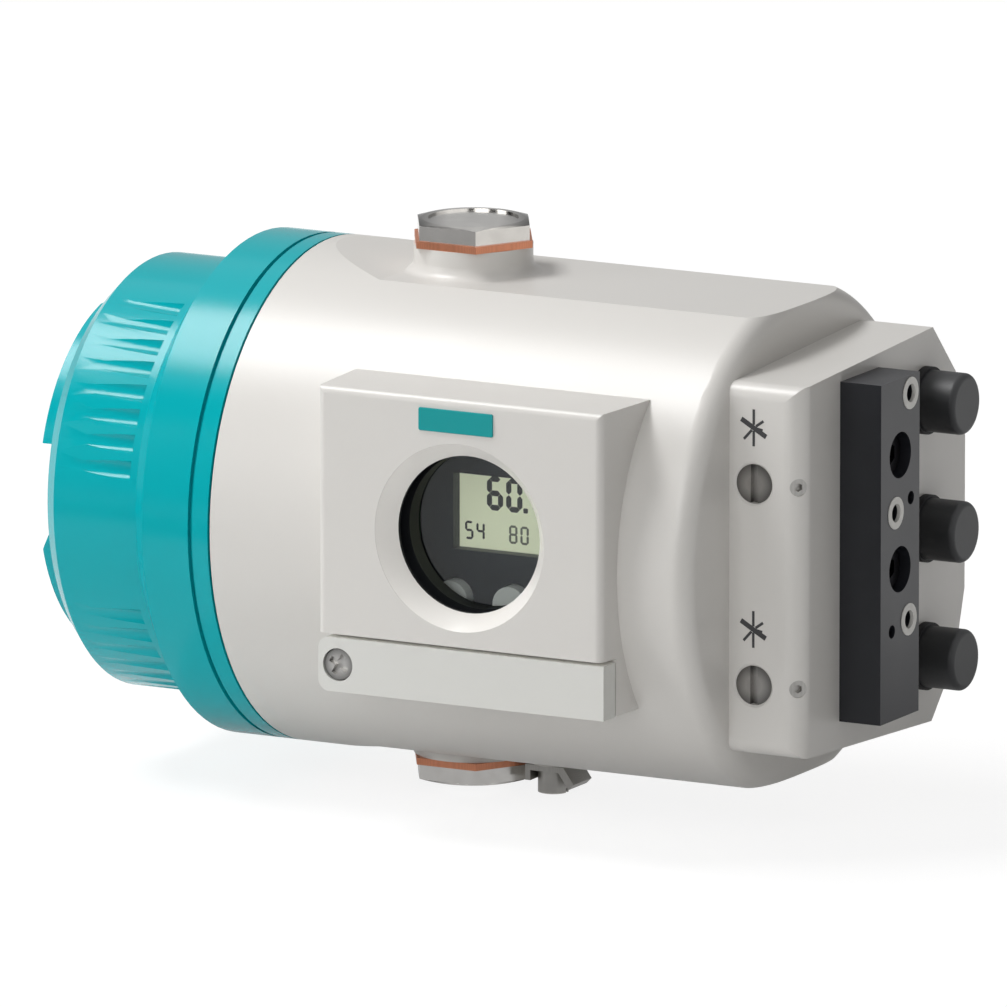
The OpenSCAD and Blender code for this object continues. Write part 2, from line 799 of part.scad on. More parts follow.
// Half the cover's section, from the mouth round the outside to the end and back inside.
module cover_outline() {
    inner_r = grip_r - cover_wall;
    inner_x = cover_end_x + cover_wall;
    groove_x = seam_x - lip_l;
    thread_end_x = seam_x - neck_l - past;
    recess_x = o_ring_x - o_ring_r - loose;
    polygon([
        [cover_mouth_x, o_ring_outer_r], [cover_mouth_x, body_r],
        [groove_x, body_r], [groove_x, body_r - lip_groove_depth],
        [groove_x - lip_groove_w, body_r - lip_groove_depth], [groove_x - lip_groove_w, body_r],
        [ring_x, body_r], [grip_x, grip_r],
        [cover_end_x + rim_bevel, grip_r], [cover_end_x, grip_r - rim_bevel],
        [cover_end_x, 0], [inner_x, 0], [inner_x, inner_r],
        [thread_end_x, inner_r], [thread_end_x, thread_r],
        [recess_x, thread_r], [recess_x, o_ring_outer_r]]);
}

// A ring on the cover's end face, parted into lugs by gaps with one upright and one sloping side.
module key_lugs() {
    difference() {
        along_x(cover_end_x - lug_h, cover_end_x + past, axis_y, 0, lug_od / 2);
        along_x(cover_end_x - lug_h - past, cover_end_x + past, axis_y, 0, lug_id / 2);
        for (k = [0 : lug_n - 1]) translate([cover_end_x, axis_y, 0]) rotate([360 * k / lug_n, 0, 0]) {
            crosswise(-body_r, 0) polygon([
                [0, lug_gap_z - lug_gap], [0, lug_gap_z], [-lug_h - past, lug_gap_z],
                [-lug_h - past, lug_gap_z - lug_gap - lug_slope * (1 + past / lug_h)]]);
        }
    }
}

// A groove along the grip, square at the shoulder and running out towards the cover's end.
module flute(angle) {
    translate([grip_x - flute_inset, axis_y, 0]) rotate([angle, 0, 0])
        translate([0, grip_r + flute_r - flute_depth, 0]) rotate([0, -90, -flute_tilt])
            cylinder(h = 2 * flute_l, r = flute_r);
}

module cover_o_ring() {
    color("#1c1c1c") turned() translate([o_ring_x, neck_r + loose + o_ring_r]) circle(o_ring_r);
}

// A flat ring about the window's axis.
module window_ring(y0, y1, outer_d, inner_d) {
    difference() {
        along_y(y0, y1, 0, window_z, outer_d / 2);
        along_y(y0 - past, y1 + past, 0, window_z, inner_d / 2);
    }
}

module window_seal() {
    color("#26282a") window_ring(glass_seat_y, glass_y, glass_d, sight_d);
}

module window_glass() {
    color("#c8d4d4") along_y(glass_y, retainer_y, 0, window_z, glass_d / 2);
}

module window_retaining_ring() {
    color("#26282b") window_ring(retainer_y, retainer_y + retainer_t, glass_d, sight_d);
}

// The cover plate over the push rods, round at the pivot's end and sunk for the pivot screw.
module button_plate() {
    left = -block_w / 2;
    right = block_w / 2 + plate_over;
    color("#cfcfca") difference() {
        crosswise(front_y, plate_back_y) {
            round_rect([left, plate_bottom_z], [0, plate_top_z], plate_corner);
            translate([left / 2, plate_bottom_z]) square([right - left / 2, plate_h]);
        }
        along_y(front_y - past, pivot_seat_y, pivot_x, pivot_z, pivot_head_d / 2 + loose);
        along_y(front_y - past, plate_back_y + past, pivot_x, pivot_z, pivot_d / 2 + run_gap);
    }
}

// The pivot screw: pan head with a cross recess in the plate, shank in the housing.
module button_plate_screw() {
    color("#55534f") difference() {
        union() {
            along_y(pivot_seat_y - pivot_head_h, pivot_seat_y - loose, pivot_x, pivot_z, pivot_head_d / 2);
            along_y(pivot_seat_y - pivot_head_h, rebate_y + pivot_thread_l - past, pivot_x, pivot_z,
                pivot_d / 2);
        }
        for (turn = [0, 90]) translate([pivot_x, pivot_seat_y - pivot_head_h, pivot_z])
            rotate([0, pivot_slot_angle + turn, 0])
                cube([pivot_cross_l, pivot_head_h, pivot_slot_w], center = true);
    }
}

// A push rod: outer head, guided shank, inner collar and the tongue that bears on its key.
module push_rod(x) {
    tongue_top = key_z - key_d / 2 + tongue_lap;
    color("#6f7274") {
        along_y(rod_tip_y, rod_tip_y + rod_head_h, x, rod_z, rod_head_d / 2);
        along_y(rod_tip_y, key_face_y, x, rod_z, rod_d / 2);
        along_y(rod_collar_y, rod_collar_y + rod_collar_t, x, rod_z, rod_head_d / 2);
        crosswise(key_face_y - tongue_t, key_face_y) translate([x, 0]) {
            translate([-rod_d / 2, rod_z]) square([rod_d, tongue_top - rod_z]);
        }
    }
}

module push_rod_1() { push_rod(-key_pitch); }
module push_rod_2() { push_rod(0); }
module push_rod_3() { push_rod(key_pitch); }

module key_cap(x) {
    color("#7a7e7d") along_y(key_face_y, key_face_y + key_depth, x, key_z, key_d / 2);
}

module key_cap_1() { key_cap(-key_pitch); }
module key_cap_2() { key_cap(0); }
module key_cap_3() { key_cap(key_pitch); }

// The module's outline with bevelled corners, drawn in by an inset.
module module_outline(inset) {
    w = module_w / 2 - inset;
    h = module_h / 2 - inset;
    b = module_bevel;
    translate([0, window_z]) polygon([
        [-w + b, -h], [w - b, -h], [w, -h + b], [w, h - b],
        [w - b, h], [-w + b, h], [-w, h - b], [-w, -h + b]]);
}

// The raised panel round the display, bevelled at its lower corners above the outer keys.
module display_panel_outline() {
    w = module_w / 2;
    top = module_h / 2 - module_bevel;
    polygon([for (p = [
        [-w + panel_bevel, -panel_drop], [w - panel_bevel, -panel_drop], [w, panel_bevel - panel_drop],
        [w, top], [-w, top], [-w, panel_bevel - panel_drop]]) [p[0], window_z + p[1]]]);
}

// The black hood over the circuit board, with the display's opening and the key holes.
module display_module() {
    color("#3b4349") difference() {
        union() {
            crosswise(module_y, board_front_y) module_outline(0);
            crosswise(module_y - panel_h, module_y + past) display_panel_outline();
        }
        crosswise(module_y + module_wall, board_front_y + past) module_outline(module_wall);
        box([-lcd_w / 2, module_y - panel_h - past, lcd_z - lcd_h / 2],
            [lcd_w / 2, module_y + module_wall + past, lcd_z + lcd_h / 2]);
        for (i = [-1 : 1]) {
            along_y(module_y - past, module_y + module_wall + past, i * key_pitch, key_z, key_d / 2 + loose);
        }
    }
}

module lcd_panel() {
    color("#bbc0a3") box(
        [-lcd_w / 2 - lcd_rim, module_y + module_wall, lcd_z - lcd_h / 2 - lcd_rim],
        [lcd_w / 2 + lcd_rim, module_y + module_wall + lcd_t, lcd_z + lcd_h / 2 + lcd_rim]);
}

// The board under the hood, with its connector and two chips.
module circuit_board() {
    color("#1f5c3c") {
        crosswise(board_front_y, board_y) module_outline(0);
        for (p = board_pieces) {
            translate([p[0] - p[2] / 2, board_front_y - p[4], window_z + p[1] - p[3] / 2])
                cube([p[2], p[4] + board_t / 2, p[3]]);
        }
    }
}

// The carrier on the cast posts, with the pillars for the board.
module carrier_plate() {
    color("#a9adb0") difference() {
        union() {
            crosswise(carrier_front_y, plate_y)
                round_rect([carrier_left_x, -carrier_z], [carrier_right_x, carrier_z], carrier_corner);
            for (x = [-1, 1], z = [-1, 1]) {
                along_y(board_y, carrier_front_y + past, x * pillar_x, window_z + z * pillar_z, pillar_d / 2);
            }
        }
        for (x = [-1, 1], z = [-1, 1]) {
            along_y(carrier_front_y - past, plate_y + past, x * post_pitch_x / 2, z * post_pitch_z / 2,
                carrier_screw_d / 2 + loose);
        }
        along_y(carrier_front_y - past, plate_y + past, 0, pinion_z, pot_shaft_d / 2 + 2 * loose);
    }
}

module carrier_screws() {
    color(steel) for (x = [-1, 1], z = [-1, 1]) {
        along_y(carrier_front_y - carrier_head_h, carrier_front_y, x * post_pitch_x / 2,
            z * post_pitch_z / 2, carrier_head_d / 2);
        along_y(carrier_front_y - past, plate_y + carrier_thread_l, x * post_pitch_x / 2,
            z * post_pitch_z / 2, carrier_screw_d / 2 - seat_gap);
    }
}

// The terminal strip on the carrier, facing the cover, with a screw and a wire hole for each terminal.
module terminal_block() {
    half = terminal_n * terminal_pitch / 2;
    color("#3d6b52") difference() {
        box([carrier_left_x, carrier_front_y - terminal_h, -half],
            [carrier_left_x + terminal_l, carrier_front_y, half]);
        for (i = [0 : terminal_n - 1]) {
            z = (i + 0.5) * terminal_pitch - half;
            along_x(carrier_left_x - past, carrier_left_x + terminal_screw_l + past, terminal_screw_y, z,
                terminal_screw_d / 2);
            box([carrier_left_x - past, carrier_front_y - wire_hole_rise - wire_hole_w, z - wire_hole_w / 2],
                [carrier_left_x + wire_hole_l, carrier_front_y - wire_hole_rise, z + wire_hole_w / 2]);
        }
    }
}

module terminal_screws() {
    half = terminal_n * terminal_pitch / 2;
    color(steel) for (i = [0 : terminal_n - 1]) {
        z = (i + 0.5) * terminal_pitch - half;
        difference() {
            along_x(carrier_left_x + terminal_sunk, carrier_left_x + terminal_screw_l, terminal_screw_y, z,
                terminal_screw_d / 2 - seat_gap);
            translate([carrier_left_x + terminal_sunk, terminal_screw_y, z])
                cube([2 * small_slot_depth, small_slot_w, terminal_screw_d + past], center = true);
        }
    }
}

// The valve block on the inner end wall, with its two round valve caps.
module piezo_valve_block() {
    color("#54585c") {
        box([valve_x, valve_y, -valve_h / 2], [inner_end_x, valve_y + valve_w, valve_h / 2]);
        for (z = [-1, 1]) {
            along_x(valve_x - valve_cap_l, valve_x + past, valve_y + valve_w / 2, z * valve_h / 4,
                valve_cap_d / 2);
        }
    }
}

// A six-sided sealing washer on an entry's face, on top for side 0 and below for side 1.
module entry_washer(side) {
    color("#b4663f") mirror([0, 0, side]) translate([entry_pos_x, axis_y, entry_z[side]]) difference() {
        cylinder(h = washer_t, r = washer_af / sqrt(3), $fn = 6);
        translate([0, 0, -past]) cylinder(h = washer_t + 2 * past, r = entry_thread_d / 2 + loose);
    }
}

// A blanking plug: chamfered hexagon with a shallow dish, and its shank in the entry.
module entry_plug(side) {
    seat_z = entry_z[side] + washer_t;
    color(steel) mirror([0, 0, side]) translate([entry_pos_x, axis_y, seat_z]) difference() {
        union() {
            hex_head(hex_af, hex_h);
            translate([0, 0, -entry_shank_l])
                cylinder(h = entry_shank_l + past, r = entry_thread_d / 2 - seat_gap);
        }
        translate([0, 0, hex_h - entry_dish]) cylinder(h = 2 * entry_dish, r = hex_af / 2 - entry_dish_rim);
    }
}

module upper_entry_washer() { entry_washer(0); }
module upper_entry_plug() { entry_plug(0); }
module lower_entry_washer() { entry_washer(1); }
module lower_entry_plug() { entry_plug(1); }

// The external earth clamp: a bent saddle on the pad, with a longer lip on one side.
module earth_clamp() {
    left = earth_pos_x - earth_pad_d / 2;
    right = earth_pos_x + earth_pad_d / 2;
    foot = -earth_pad_z - earth_clamp_h;
    color("#b9b6b0") difference() {
        crosswise(axis_y - earth_clamp_w / 2, axis_y + earth_clamp_w / 2) polygon([
            [left, -earth_pad_z], [right, -earth_pad_z],
            [right + earth_lip_reach, foot],
            [right + earth_lip_reach - earth_clamp_t, foot - earth_clamp_t],
            [right - earth_clamp_t, -earth_pad_z - earth_clamp_t],
            [left + earth_clamp_t, -earth_pad_z - earth_clamp_t], [left + earth_clamp_t, foot],
            [left, foot]]);
        along_z(foot, -earth_pad_z + past, earth_pos_x, axis_y, earth_d / 2 + loose);
    }
}

// The earth screw: slotted head under the saddle, shank in the pad.
module earth_screw() {
    seat_z = -earth_pad_z - earth_clamp_t;
    color(steel) difference() {
        union() {
            along_z(seat_z - earth_head_h, seat_z, earth_pos_x, axis_y, earth_d);
            along_z(seat_z - past, earth_tip_z, earth_pos_x, axis_y, earth_d / 2 - seat_gap);
        }
        translate([earth_pos_x, axis_y, seat_z - earth_head_h])
            cube([3 * earth_d, small_slot_w, 2 * small_slot_depth], center = true);
    }
}

// A slotted throttle screw with a chamfered face.
module throttle_screw(z) {
    color("#4f4d4a") difference() {
        along_y(boss_front_y + throttle_sunk, boss_front_y + throttle_l, throttle_pos_x, z, throttle_d / 2);
        translate([throttle_pos_x, boss_front_y + throttle_sunk, z])
            cube([slot_w, 2 * slot_depth, throttle_d + past], center = true);
    }
}

module throttle_screw_upper() { throttle_screw(throttle_upper_z); }
module throttle_screw_lower() { throttle_screw(throttle_lower_z); }

module throttle_lock_screws() {
    color("#8d8a86") for (z = [throttle_upper_z, throttle_lower_z]) {
        at_lock(z) translate([0, 0, past + lock_sunk]) difference() {
            cylinder(h = boss_round + lock_reach - lock_sunk, r = lock_d / 2 - seat_gap);
            translate([0, 0, -past]) cylinder(h = past + lock_key_depth, r = lock_d / 4, $fn = 6);
        }
    }
}

// The block on the end face: sunk screw holes, seal ring seats, test ports and vents.
module connection_block() {
    color(dark) difference() {
        box([boss_x, conn_front_y, conn_z - conn_h / 2],
            [conn_x, conn_front_y + conn_w, conn_z + conn_h / 2]);
        for (z = conn_screw_z) {
            along_x(conn_seat_x, conn_x + past, conn_mid_y, z, sunk_d / 2);
            along_x(boss_x - past, conn_x + past, conn_mid_y, z, conn_screw_d / 2 + loose);
        }
        for (p = seal_ring_at) {
            along_x(conn_x - seal_ring_depth, conn_x + past, conn_mid_y + p[0], p[1], seal_ring_d / 2);
            along_x(boss_x + past, conn_x + past, conn_mid_y + p[0], p[1], seal_bore_d / 2);
        }
        for (p = vent_at) along_x(boss_x + past, conn_x + past, conn_mid_y + p[0], p[1], vent_d / 2);
    }
}

module connection_block_screws() {
    color("#1f2023") for (z = conn_screw_z) difference() {
        union() {
            along_x(conn_seat_x, conn_seat_x + conn_head_h, conn_mid_y, z, sunk_d / 2 - 2 * loose);
            along_x(boss_x - conn_thread_l, conn_seat_x + past, conn_mid_y, z, conn_screw_d / 2 - seat_gap);
        }
        translate([conn_seat_x + conn_head_h / 2, conn_mid_y, z]) rotate([0, 90, 0])
            cylinder(h = conn_head_h, r = conn_screw_d / 2, $fn = 6);
    }
}

module port_seal_rings() {
    color("#d6d4cf") for (p = seal_ring_at) difference() {
        along_x(conn_x - seal_ring_depth, conn_x + seal_ring_proud, conn_mid_y + p[0], p[1],
            seal_ring_d / 2 - seat_gap);
        along_x(conn_x - seal_ring_depth - past, conn_x + past, conn_mid_y + p[0], p[1], seal_bore_d / 2);
    }
}

// A port plug: threaded shank and a smooth head with a round edge.
module port_plug(i) {
    edge_r = port_head_d / 2 - port_head_round;
    color("#26282b") translate([boss_x + port_seal_t, port_pos_y, i * port_pitch]) rotate([0, 90, 0]) {
        translate([0, 0, -port_thread_l]) cylinder(h = port_thread_l + past, r = port_thread_d / 2);
        rotate_extrude() {
            square([port_head_d / 2, port_head_l - port_head_round]);
            square([edge_r, port_head_l]);
            translate([edge_r, port_head_l - port_head_round]) circle(port_head_round);
        }
    }
}

module port_plug_1() { port_plug(1); }
module port_plug_2() { port_plug(0); }
module port_plug_3() { port_plug(-1); }

module port_plug_seal(i) {
    color("#3a3b3d") difference() {
        along_x(boss_x, boss_x + port_seal_t, port_pos_y, i * port_pitch, port_seal_d / 2);
        along_x(boss_x - past, boss_x + port_seal_t + past, port_pos_y, i * port_pitch,
            port_thread_d / 2 + loose);
    }
}

module port_plug_seal_1() { port_plug_seal(1); }
module port_plug_seal_2() { port_plug_seal(0); }
module port_plug_seal_3() { port_plug_seal(-1); }

// The shaft: journal in the bush, and the thinner free end with a chamfer.
module feedback_shaft() {
    color("#c9ccce") {
        along_y(plate_y + loose, journal_proud, 0, 0, journal_d / 2);
        along_y(0, shaft_free_l - past, 0, 0, shaft_d / 2);
        translate([0, shaft_free_l - past, 0]) rotate([-90, 0, 0])
            cylinder(h = past, r1 = shaft_d / 2, r2 = shaft_d / 2 - past);
    }
}

module shaft_bush() {
    color("#b08d57") difference() {
        union() {
            along_y(inner_rear_y - bush_flange_t, -loose, 0, 0, bush_r - seat_gap);
            along_y(inner_rear_y - bush_flange_t, inner_rear_y, 0, 0, bush_r + bush_wall);
        }
        along_y(inner_rear_y - bush_flange_t - past, past, 0, 0, journal_d / 2 + run_gap);
    }
}

// The drive gear on the shaft, with a hub towards the bush and lightening holes.
module drive_gear() {
    color("#d9c27a") difference() {
        union() {
            crosswise(gear_y - gear_w, gear_y) gear_outline(drive_teeth);
            along_y(gear_y - past, gear_y + gear_hub_l, 0, 0, bush_r);
        }
        along_y(gear_y - gear_w - past, gear_y + gear_hub_l + past, 0, 0, journal_d / 2 + seat_gap);
        for (k = [0 : gear_hole_n - 1]) rotate([0, 360 * (k + 0.5) / gear_hole_n, 0]) {
            along_y(gear_y - gear_w - past, gear_y + past, gear_hole_at, 0, gear_hole_d / 2);
        }
    }
}

// The potentiometer on the carrier's front, with its three solder lugs.
module potentiometer() {
    color("#3f5f8a") difference() {
        union() {
            along_y(carrier_front_y - pot_l, carrier_front_y, 0, pinion_z, pot_d / 2);
            for (k = [-1 : 1]) translate([k * pot_lug_pitch, carrier_front_y - pot_l / 2, pinion_z]) {
                box([-pot_lug_w / 2, -pot_lug_t / 2, -pot_d / 2 - pot_lug_l],
                    [pot_lug_w / 2, pot_lug_t / 2, -pot_d / 4]);
            }
        }
        along_y(carrier_front_y - pot_shaft_in - loose, carrier_front_y + past, 0, pinion_z,
            pot_shaft_d / 2 + run_gap);
    }
}

// The pinion on the potentiometer's shaft, turned so that a gap faces the drive gear's tooth.
module pot_pinion() {
    color("#e3d9b8") {
        along_y(carrier_front_y - pot_shaft_in, gear_y + past / 2, 0, pinion_z, pot_shaft_d / 2);
        crosswise(gear_y - gear_w - past / 2, gear_y + past / 2) translate([0, pinion_z])
            rotate(90 + 180 / pinion_teeth) gear_outline(pinion_teeth);
    }
}

housing();
screw_cover();
cover_o_ring();
window_seal();
window_glass();
window_retaining_ring();
button_plate();
button_plate_screw();
push_rod_1();
push_rod_2();
push_rod_3();
key_cap_1();
key_cap_2();
key_cap_3();
display_module();
lcd_panel();
circuit_board();
carrier_plate();
carrier_screws();
terminal_block();
terminal_screws();
piezo_valve_block();
upper_entry_washer();
upper_entry_plug();
lower_entry_washer();
lower_entry_plug();
earth_clamp();
earth_screw();
throttle_screw_upper();
throttle_screw_lower();
throttle_lock_screws();
connection_block();
connection_block_screws();
port_seal_rings();
port_plug_1();
port_plug_2();
port_plug_3();
port_plug_seal_1();
port_plug_seal_2();
port_plug_seal_3();
feedback_shaft();
shaft_bush();
drive_gear();
potentiometer();
pot_pinion();
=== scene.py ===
"""Looks of the valve positioner: finishes, printed and fine pieces, light and camera."""
from math import cos, pi, radians, sin

import bmesh
import bpy
import numpy as np
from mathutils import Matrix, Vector


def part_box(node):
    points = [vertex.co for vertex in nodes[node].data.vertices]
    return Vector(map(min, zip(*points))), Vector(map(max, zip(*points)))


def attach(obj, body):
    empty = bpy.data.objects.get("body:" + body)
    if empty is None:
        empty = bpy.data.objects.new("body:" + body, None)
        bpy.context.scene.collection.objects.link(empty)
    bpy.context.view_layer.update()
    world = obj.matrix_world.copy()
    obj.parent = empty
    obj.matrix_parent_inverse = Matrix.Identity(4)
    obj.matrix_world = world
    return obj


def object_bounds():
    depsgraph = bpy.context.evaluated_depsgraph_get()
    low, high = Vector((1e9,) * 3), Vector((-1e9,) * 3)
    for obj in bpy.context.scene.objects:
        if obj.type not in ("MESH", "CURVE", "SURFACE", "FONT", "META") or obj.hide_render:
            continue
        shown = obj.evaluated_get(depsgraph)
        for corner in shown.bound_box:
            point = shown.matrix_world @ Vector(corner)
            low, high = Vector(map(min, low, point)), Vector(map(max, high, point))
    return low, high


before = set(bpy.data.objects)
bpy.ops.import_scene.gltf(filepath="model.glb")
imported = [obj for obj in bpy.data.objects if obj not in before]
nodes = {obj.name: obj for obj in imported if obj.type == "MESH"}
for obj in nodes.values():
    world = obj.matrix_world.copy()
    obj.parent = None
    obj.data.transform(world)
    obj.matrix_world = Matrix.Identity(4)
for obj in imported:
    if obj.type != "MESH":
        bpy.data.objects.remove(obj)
cad_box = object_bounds()
scene = bpy.context.scene
MM = 0.001
MICRON = 0.000001

# Camera: a long lens that looks at the point in the middle of the picture
VIEW_POINT = Vector((-37.2, -29.8, -4.15)) * MM
VIEW_BACK = Vector((0.4613, -0.8639, 0.2021)).normalized()
VIEW_DISTANCE = 6.0
PIXELS_PER_METRE = 3853.0
PICTURE_SIDE = 1007
SENSOR = 36.0
CLIP_END = 40.0

# Colours of the finishes
BODY_GREY = (0.652, 0.636, 0.608)
PLATE_GREY = (0.650, 0.650, 0.620)
TEAL = (0.000, 0.375, 0.420)
TAG_TEAL = (0.004, 0.300, 0.310)
STAINLESS = (0.860, 0.840, 0.810)
COPPER = (0.640, 0.270, 0.160)
SCREW_GREY = (0.400, 0.385, 0.370)
PIVOT_GREY = (0.720, 0.710, 0.690)
THROTTLE_GREY = (0.540, 0.525, 0.505)
LOCK_GREY = (0.480, 0.470, 0.450)
EARTH_GREY = (0.400, 0.390, 0.370)
GROUND_GREY = (0.560, 0.560, 0.560)
SHEET_GREY = (0.550, 0.560, 0.570)
VALVE_GREY = (0.130, 0.140, 0.150)
BRONZE = (0.480, 0.270, 0.090)
BLACKED_STEEL = (0.030, 0.030, 0.034)
ANODISED_BLACK = (0.012, 0.013, 0.017)
RUBBER_BLACK = (0.016, 0.016, 0.017)
PLASTIC_BLACK = (0.020, 0.021, 0.023)
MODULE_BLACK = (0.010, 0.014, 0.022)
KEY_GREY = (0.900, 0.910, 0.890)
RING_WHITE = (0.680, 0.670, 0.640)
TERMINAL_GREEN = (0.045, 0.150, 0.085)
POT_BLUE = (0.045, 0.105, 0.250)
GEAR_TAN = (0.640, 0.520, 0.250)
DISPLAY_GREEN = (0.660, 0.690, 0.500)
DISPLAY_PAINTED_LIGHT = 0.44
DIGIT_INK = (0.030, 0.032, 0.034)
FAINT_INK = (0.200, 0.215, 0.165)
SIGN_INK = (0.055, 0.055, 0.058)
WHITE = (1.0, 1.0, 1.0)


# Shader helpers

def rgba(colour):
    """A colour as the four numbers of a socket."""
    return (*colour, 1.0)


class Nodes:
    """A node tree with short calls for adding a node and joining sockets."""

    def __init__(self, tree):
        self.tree = tree

    def add(self, kind, inputs=None, **settings):
        """Adds a node; inputs maps a socket's name or number to a value or to another node's output."""
        made = self.tree.nodes.new(kind)
        for key, value in settings.items():
            setattr(made, key, value)
        for key, value in (inputs or {}).items():
            if isinstance(value, bpy.types.NodeSocket):
                self.tree.links.new(value, made.inputs[key])
            else:
                made.inputs[key].default_value = value
        return made

    def math(self, operation, *terms):
        """The result of one sum on numbers or sockets."""
        return self.add("ShaderNodeMath", dict(enumerate(terms)), operation=operation).outputs[0]

    def noise(self, vector, scale, detail=2.0):
        """Fractal noise between 0 and 1, in cycles per metre."""
        made = self.add("ShaderNodeTexNoise", {
            "Vector": vector, "Scale": scale, "Detail": detail, "Roughness": 0.5})
        return made.outputs["Fac"]

    def span(self, value, low, high, to_low, to_high):
        """Maps low..high to to_low..to_high and stops at the ends."""
        made = self.add("ShaderNodeMapRange", {"Value": value, "From Min": low, "From Max": high,
                                               "To Min": to_low, "To Max": to_high})
        return made.outputs["Result"]

    def shade(self, colour, factor):
        """A colour times a number."""
        made = self.add("ShaderNodeVectorMath", {0: colour, "Scale": factor}, operation="SCALE")
        return made.outputs["Vector"]

    def place(self, vector):
        """The X, Y and Z of a vector."""
        return self.add("ShaderNodeSeparateXYZ", {0: vector}).outputs


def clean_material(name):
    """A new material without nodes, and its node tree."""
    material = bpy.data.materials.new(name)
    material.use_nodes = True
    material.node_tree.nodes.clear()
    return material, Nodes(material.node_tree)


# Skins: the effects that several finishes share, as shader groups

FLOAT, COLOUR, VECTOR = "NodeSocketFloat", "NodeSocketColor", "NodeSocketVector"
ORIGIN = (0.0, 0.0, 0.0)
SKIN = [("Color", COLOUR), ("Roughness", FLOAT), ("Height", FLOAT)]


def group(name, inputs, outputs):
    """A new shader group with the named sockets; returns its tree, its input node and its output node."""
    tree = bpy.data.node_groups.new(name, "ShaderNodeTree")
    for label, kind, value in inputs:
        made = tree.interface.new_socket(name=label, in_out="INPUT", socket_type=kind)
        made.default_value = value
    for label, kind in outputs:
        tree.interface.new_socket(name=label, in_out="OUTPUT", socket_type=kind)
    net = Nodes(tree)
    return net, net.add("NodeGroupInput"), net.add("NodeGroupOutput")


def put_out(net, result, **values):
    """Joins the results of a group to its output sockets."""
    for label, value in values.items():
        net.tree.links.new(value, result.inputs[label])
    return net.tree


def make_paint_skin():
    """Sprayed paint on a casting: fine orange peel over soft waves of the cast wall, uneven in shine."""
    net, source, result = group("paint_skin", [
        ("Color", COLOUR, (0.8, 0.8, 0.8, 1.0)), ("Vector", VECTOR, ORIGIN),
        ("Peel Scale", FLOAT, 900.0), ("Roughness", FLOAT, 0.35)], SKIN)
    vector = source.outputs["Vector"]
    peel = net.noise(vector, source.outputs["Peel Scale"])
    wave = net.noise(vector, scale=60.0, detail=1.0)
    blotch = net.noise(vector, scale=22.0, detail=3.0)
    rough = net.math("ADD", source.outputs["Roughness"], net.span(blotch, 0.0, 1.0, -0.04, 0.04))
    height = net.math("ADD", peel, net.math("MULTIPLY", wave, 1.5))
    return put_out(net, result, Color=source.outputs["Color"], Roughness=rough, Height=height)


def make_turned_metal():
    """Lathe marks: rings about the Z axis of the given vector, uneven in depth, with soft stains and a rim
    darkened by painted shade. Rings and rim show beyond the ring height, above and below the vector's
    origin. The tone falls towards the rim radius, as painted shade round a screw head's edge; a squeeze
    under 1 counts less of Y in that radius, so that the rim is dark on two sides alone, the painted dark
    sides of a turned face's reflection."""
    net, source, result = group("turned_metal", [
        ("Color", COLOUR, (0.6, 0.6, 0.6, 1.0)), ("Vector", VECTOR, ORIGIN), ("Ring Scale", FLOAT, 900.0),
        ("Ring Height", FLOAT, 0.0), ("Rim Radius", FLOAT, 1.0), ("Painted Rim Shade", FLOAT, 0.45),
        ("Rim Squeeze", FLOAT, 1.0), ("Roughness", FLOAT, 0.25)], SKIN)
    vector = source.outputs["Vector"]
    waves = net.add("ShaderNodeTexWave", {
        "Vector": vector, "Scale": source.outputs["Ring Scale"], "Distortion": 1.5, "Detail": 2.0},
        wave_type="RINGS", rings_direction="Z").outputs["Fac"]
    place = net.place(vector)
    high = net.math("GREATER_THAN", net.math("ABSOLUTE", place["Z"]), source.outputs["Ring Height"])
    rings = net.math("MULTIPLY", waves, high)
    aside = net.math("MULTIPLY", place["Y"], source.outputs["Rim Squeeze"])
    across = net.math("SQRT", net.math("ADD", net.math("MULTIPLY", place["X"], place["X"]),
                                       net.math("MULTIPLY", aside, aside)))
    reach = net.math("DIVIDE", across, source.outputs["Rim Radius"])
    outer = net.math("MULTIPLY", high, net.span(reach, 0.45, 0.95, 0.0, 1.0))
    painted_shade_loss = net.math("MULTIPLY", outer, net.math("SUBTRACT", 1.0, source.outputs["Painted Rim Shade"]))
    rim = net.math("SUBTRACT", 1.0, painted_shade_loss)
    stain = net.noise(vector, scale=180.0, detail=4.0)
    scratch = net.noise(vector, scale=2400.0)
    rough = net.math("ADD", source.outputs["Roughness"], net.span(stain, 0.0, 1.0, -0.06, 0.06))
    tone = net.math("ADD", net.span(stain, 0.0, 1.0, 0.80, 1.14), net.span(rings, 0.0, 1.0, -0.05, 0.05))
    colour = net.shade(source.outputs["Color"], net.math("MULTIPLY", tone, rim))
    height = net.math("ADD", rings, net.math("MULTIPLY", scratch, 0.6))
    return put_out(net, result, Color=colour, Roughness=rough, Height=height)


def make_moulded_grain():
    """Moulded or anodised surface: even fine grain, a little dust and small shine differences."""
    net, source, result = group("moulded_grain", [
        ("Color", COLOUR, (0.1, 0.1, 0.1, 1.0)), ("Vector", VECTOR, ORIGIN),
        ("Grain Scale", FLOAT, 2500.0), ("Dust", FLOAT, 0.15), ("Roughness", FLOAT, 0.45)], SKIN)
    vector = source.outputs["Vector"]
    grain = net.noise(vector, source.outputs["Grain Scale"])
    cloud = net.noise(vector, scale=70.0, detail=4.0)
    speck = net.noise(vector, scale=1400.0, detail=1.0)
    dust = net.math("MULTIPLY", net.span(speck, 0.6, 0.75, 0.0, 1.0), net.span(cloud, 0.45, 0.7, 0.0, 1.0))
    dust = net.math("MULTIPLY", dust, source.outputs["Dust"])
    tone = net.math("ADD", net.span(cloud, 0.0, 1.0, 0.82, 1.18), dust)
    rough = net.math("ADD", source.outputs["Roughness"], net.span(cloud, 0.0, 1.0, -0.06, 0.06))
    return put_out(net, result, Color=net.shade(source.outputs["Color"], tone), Roughness=rough, Height=grain)


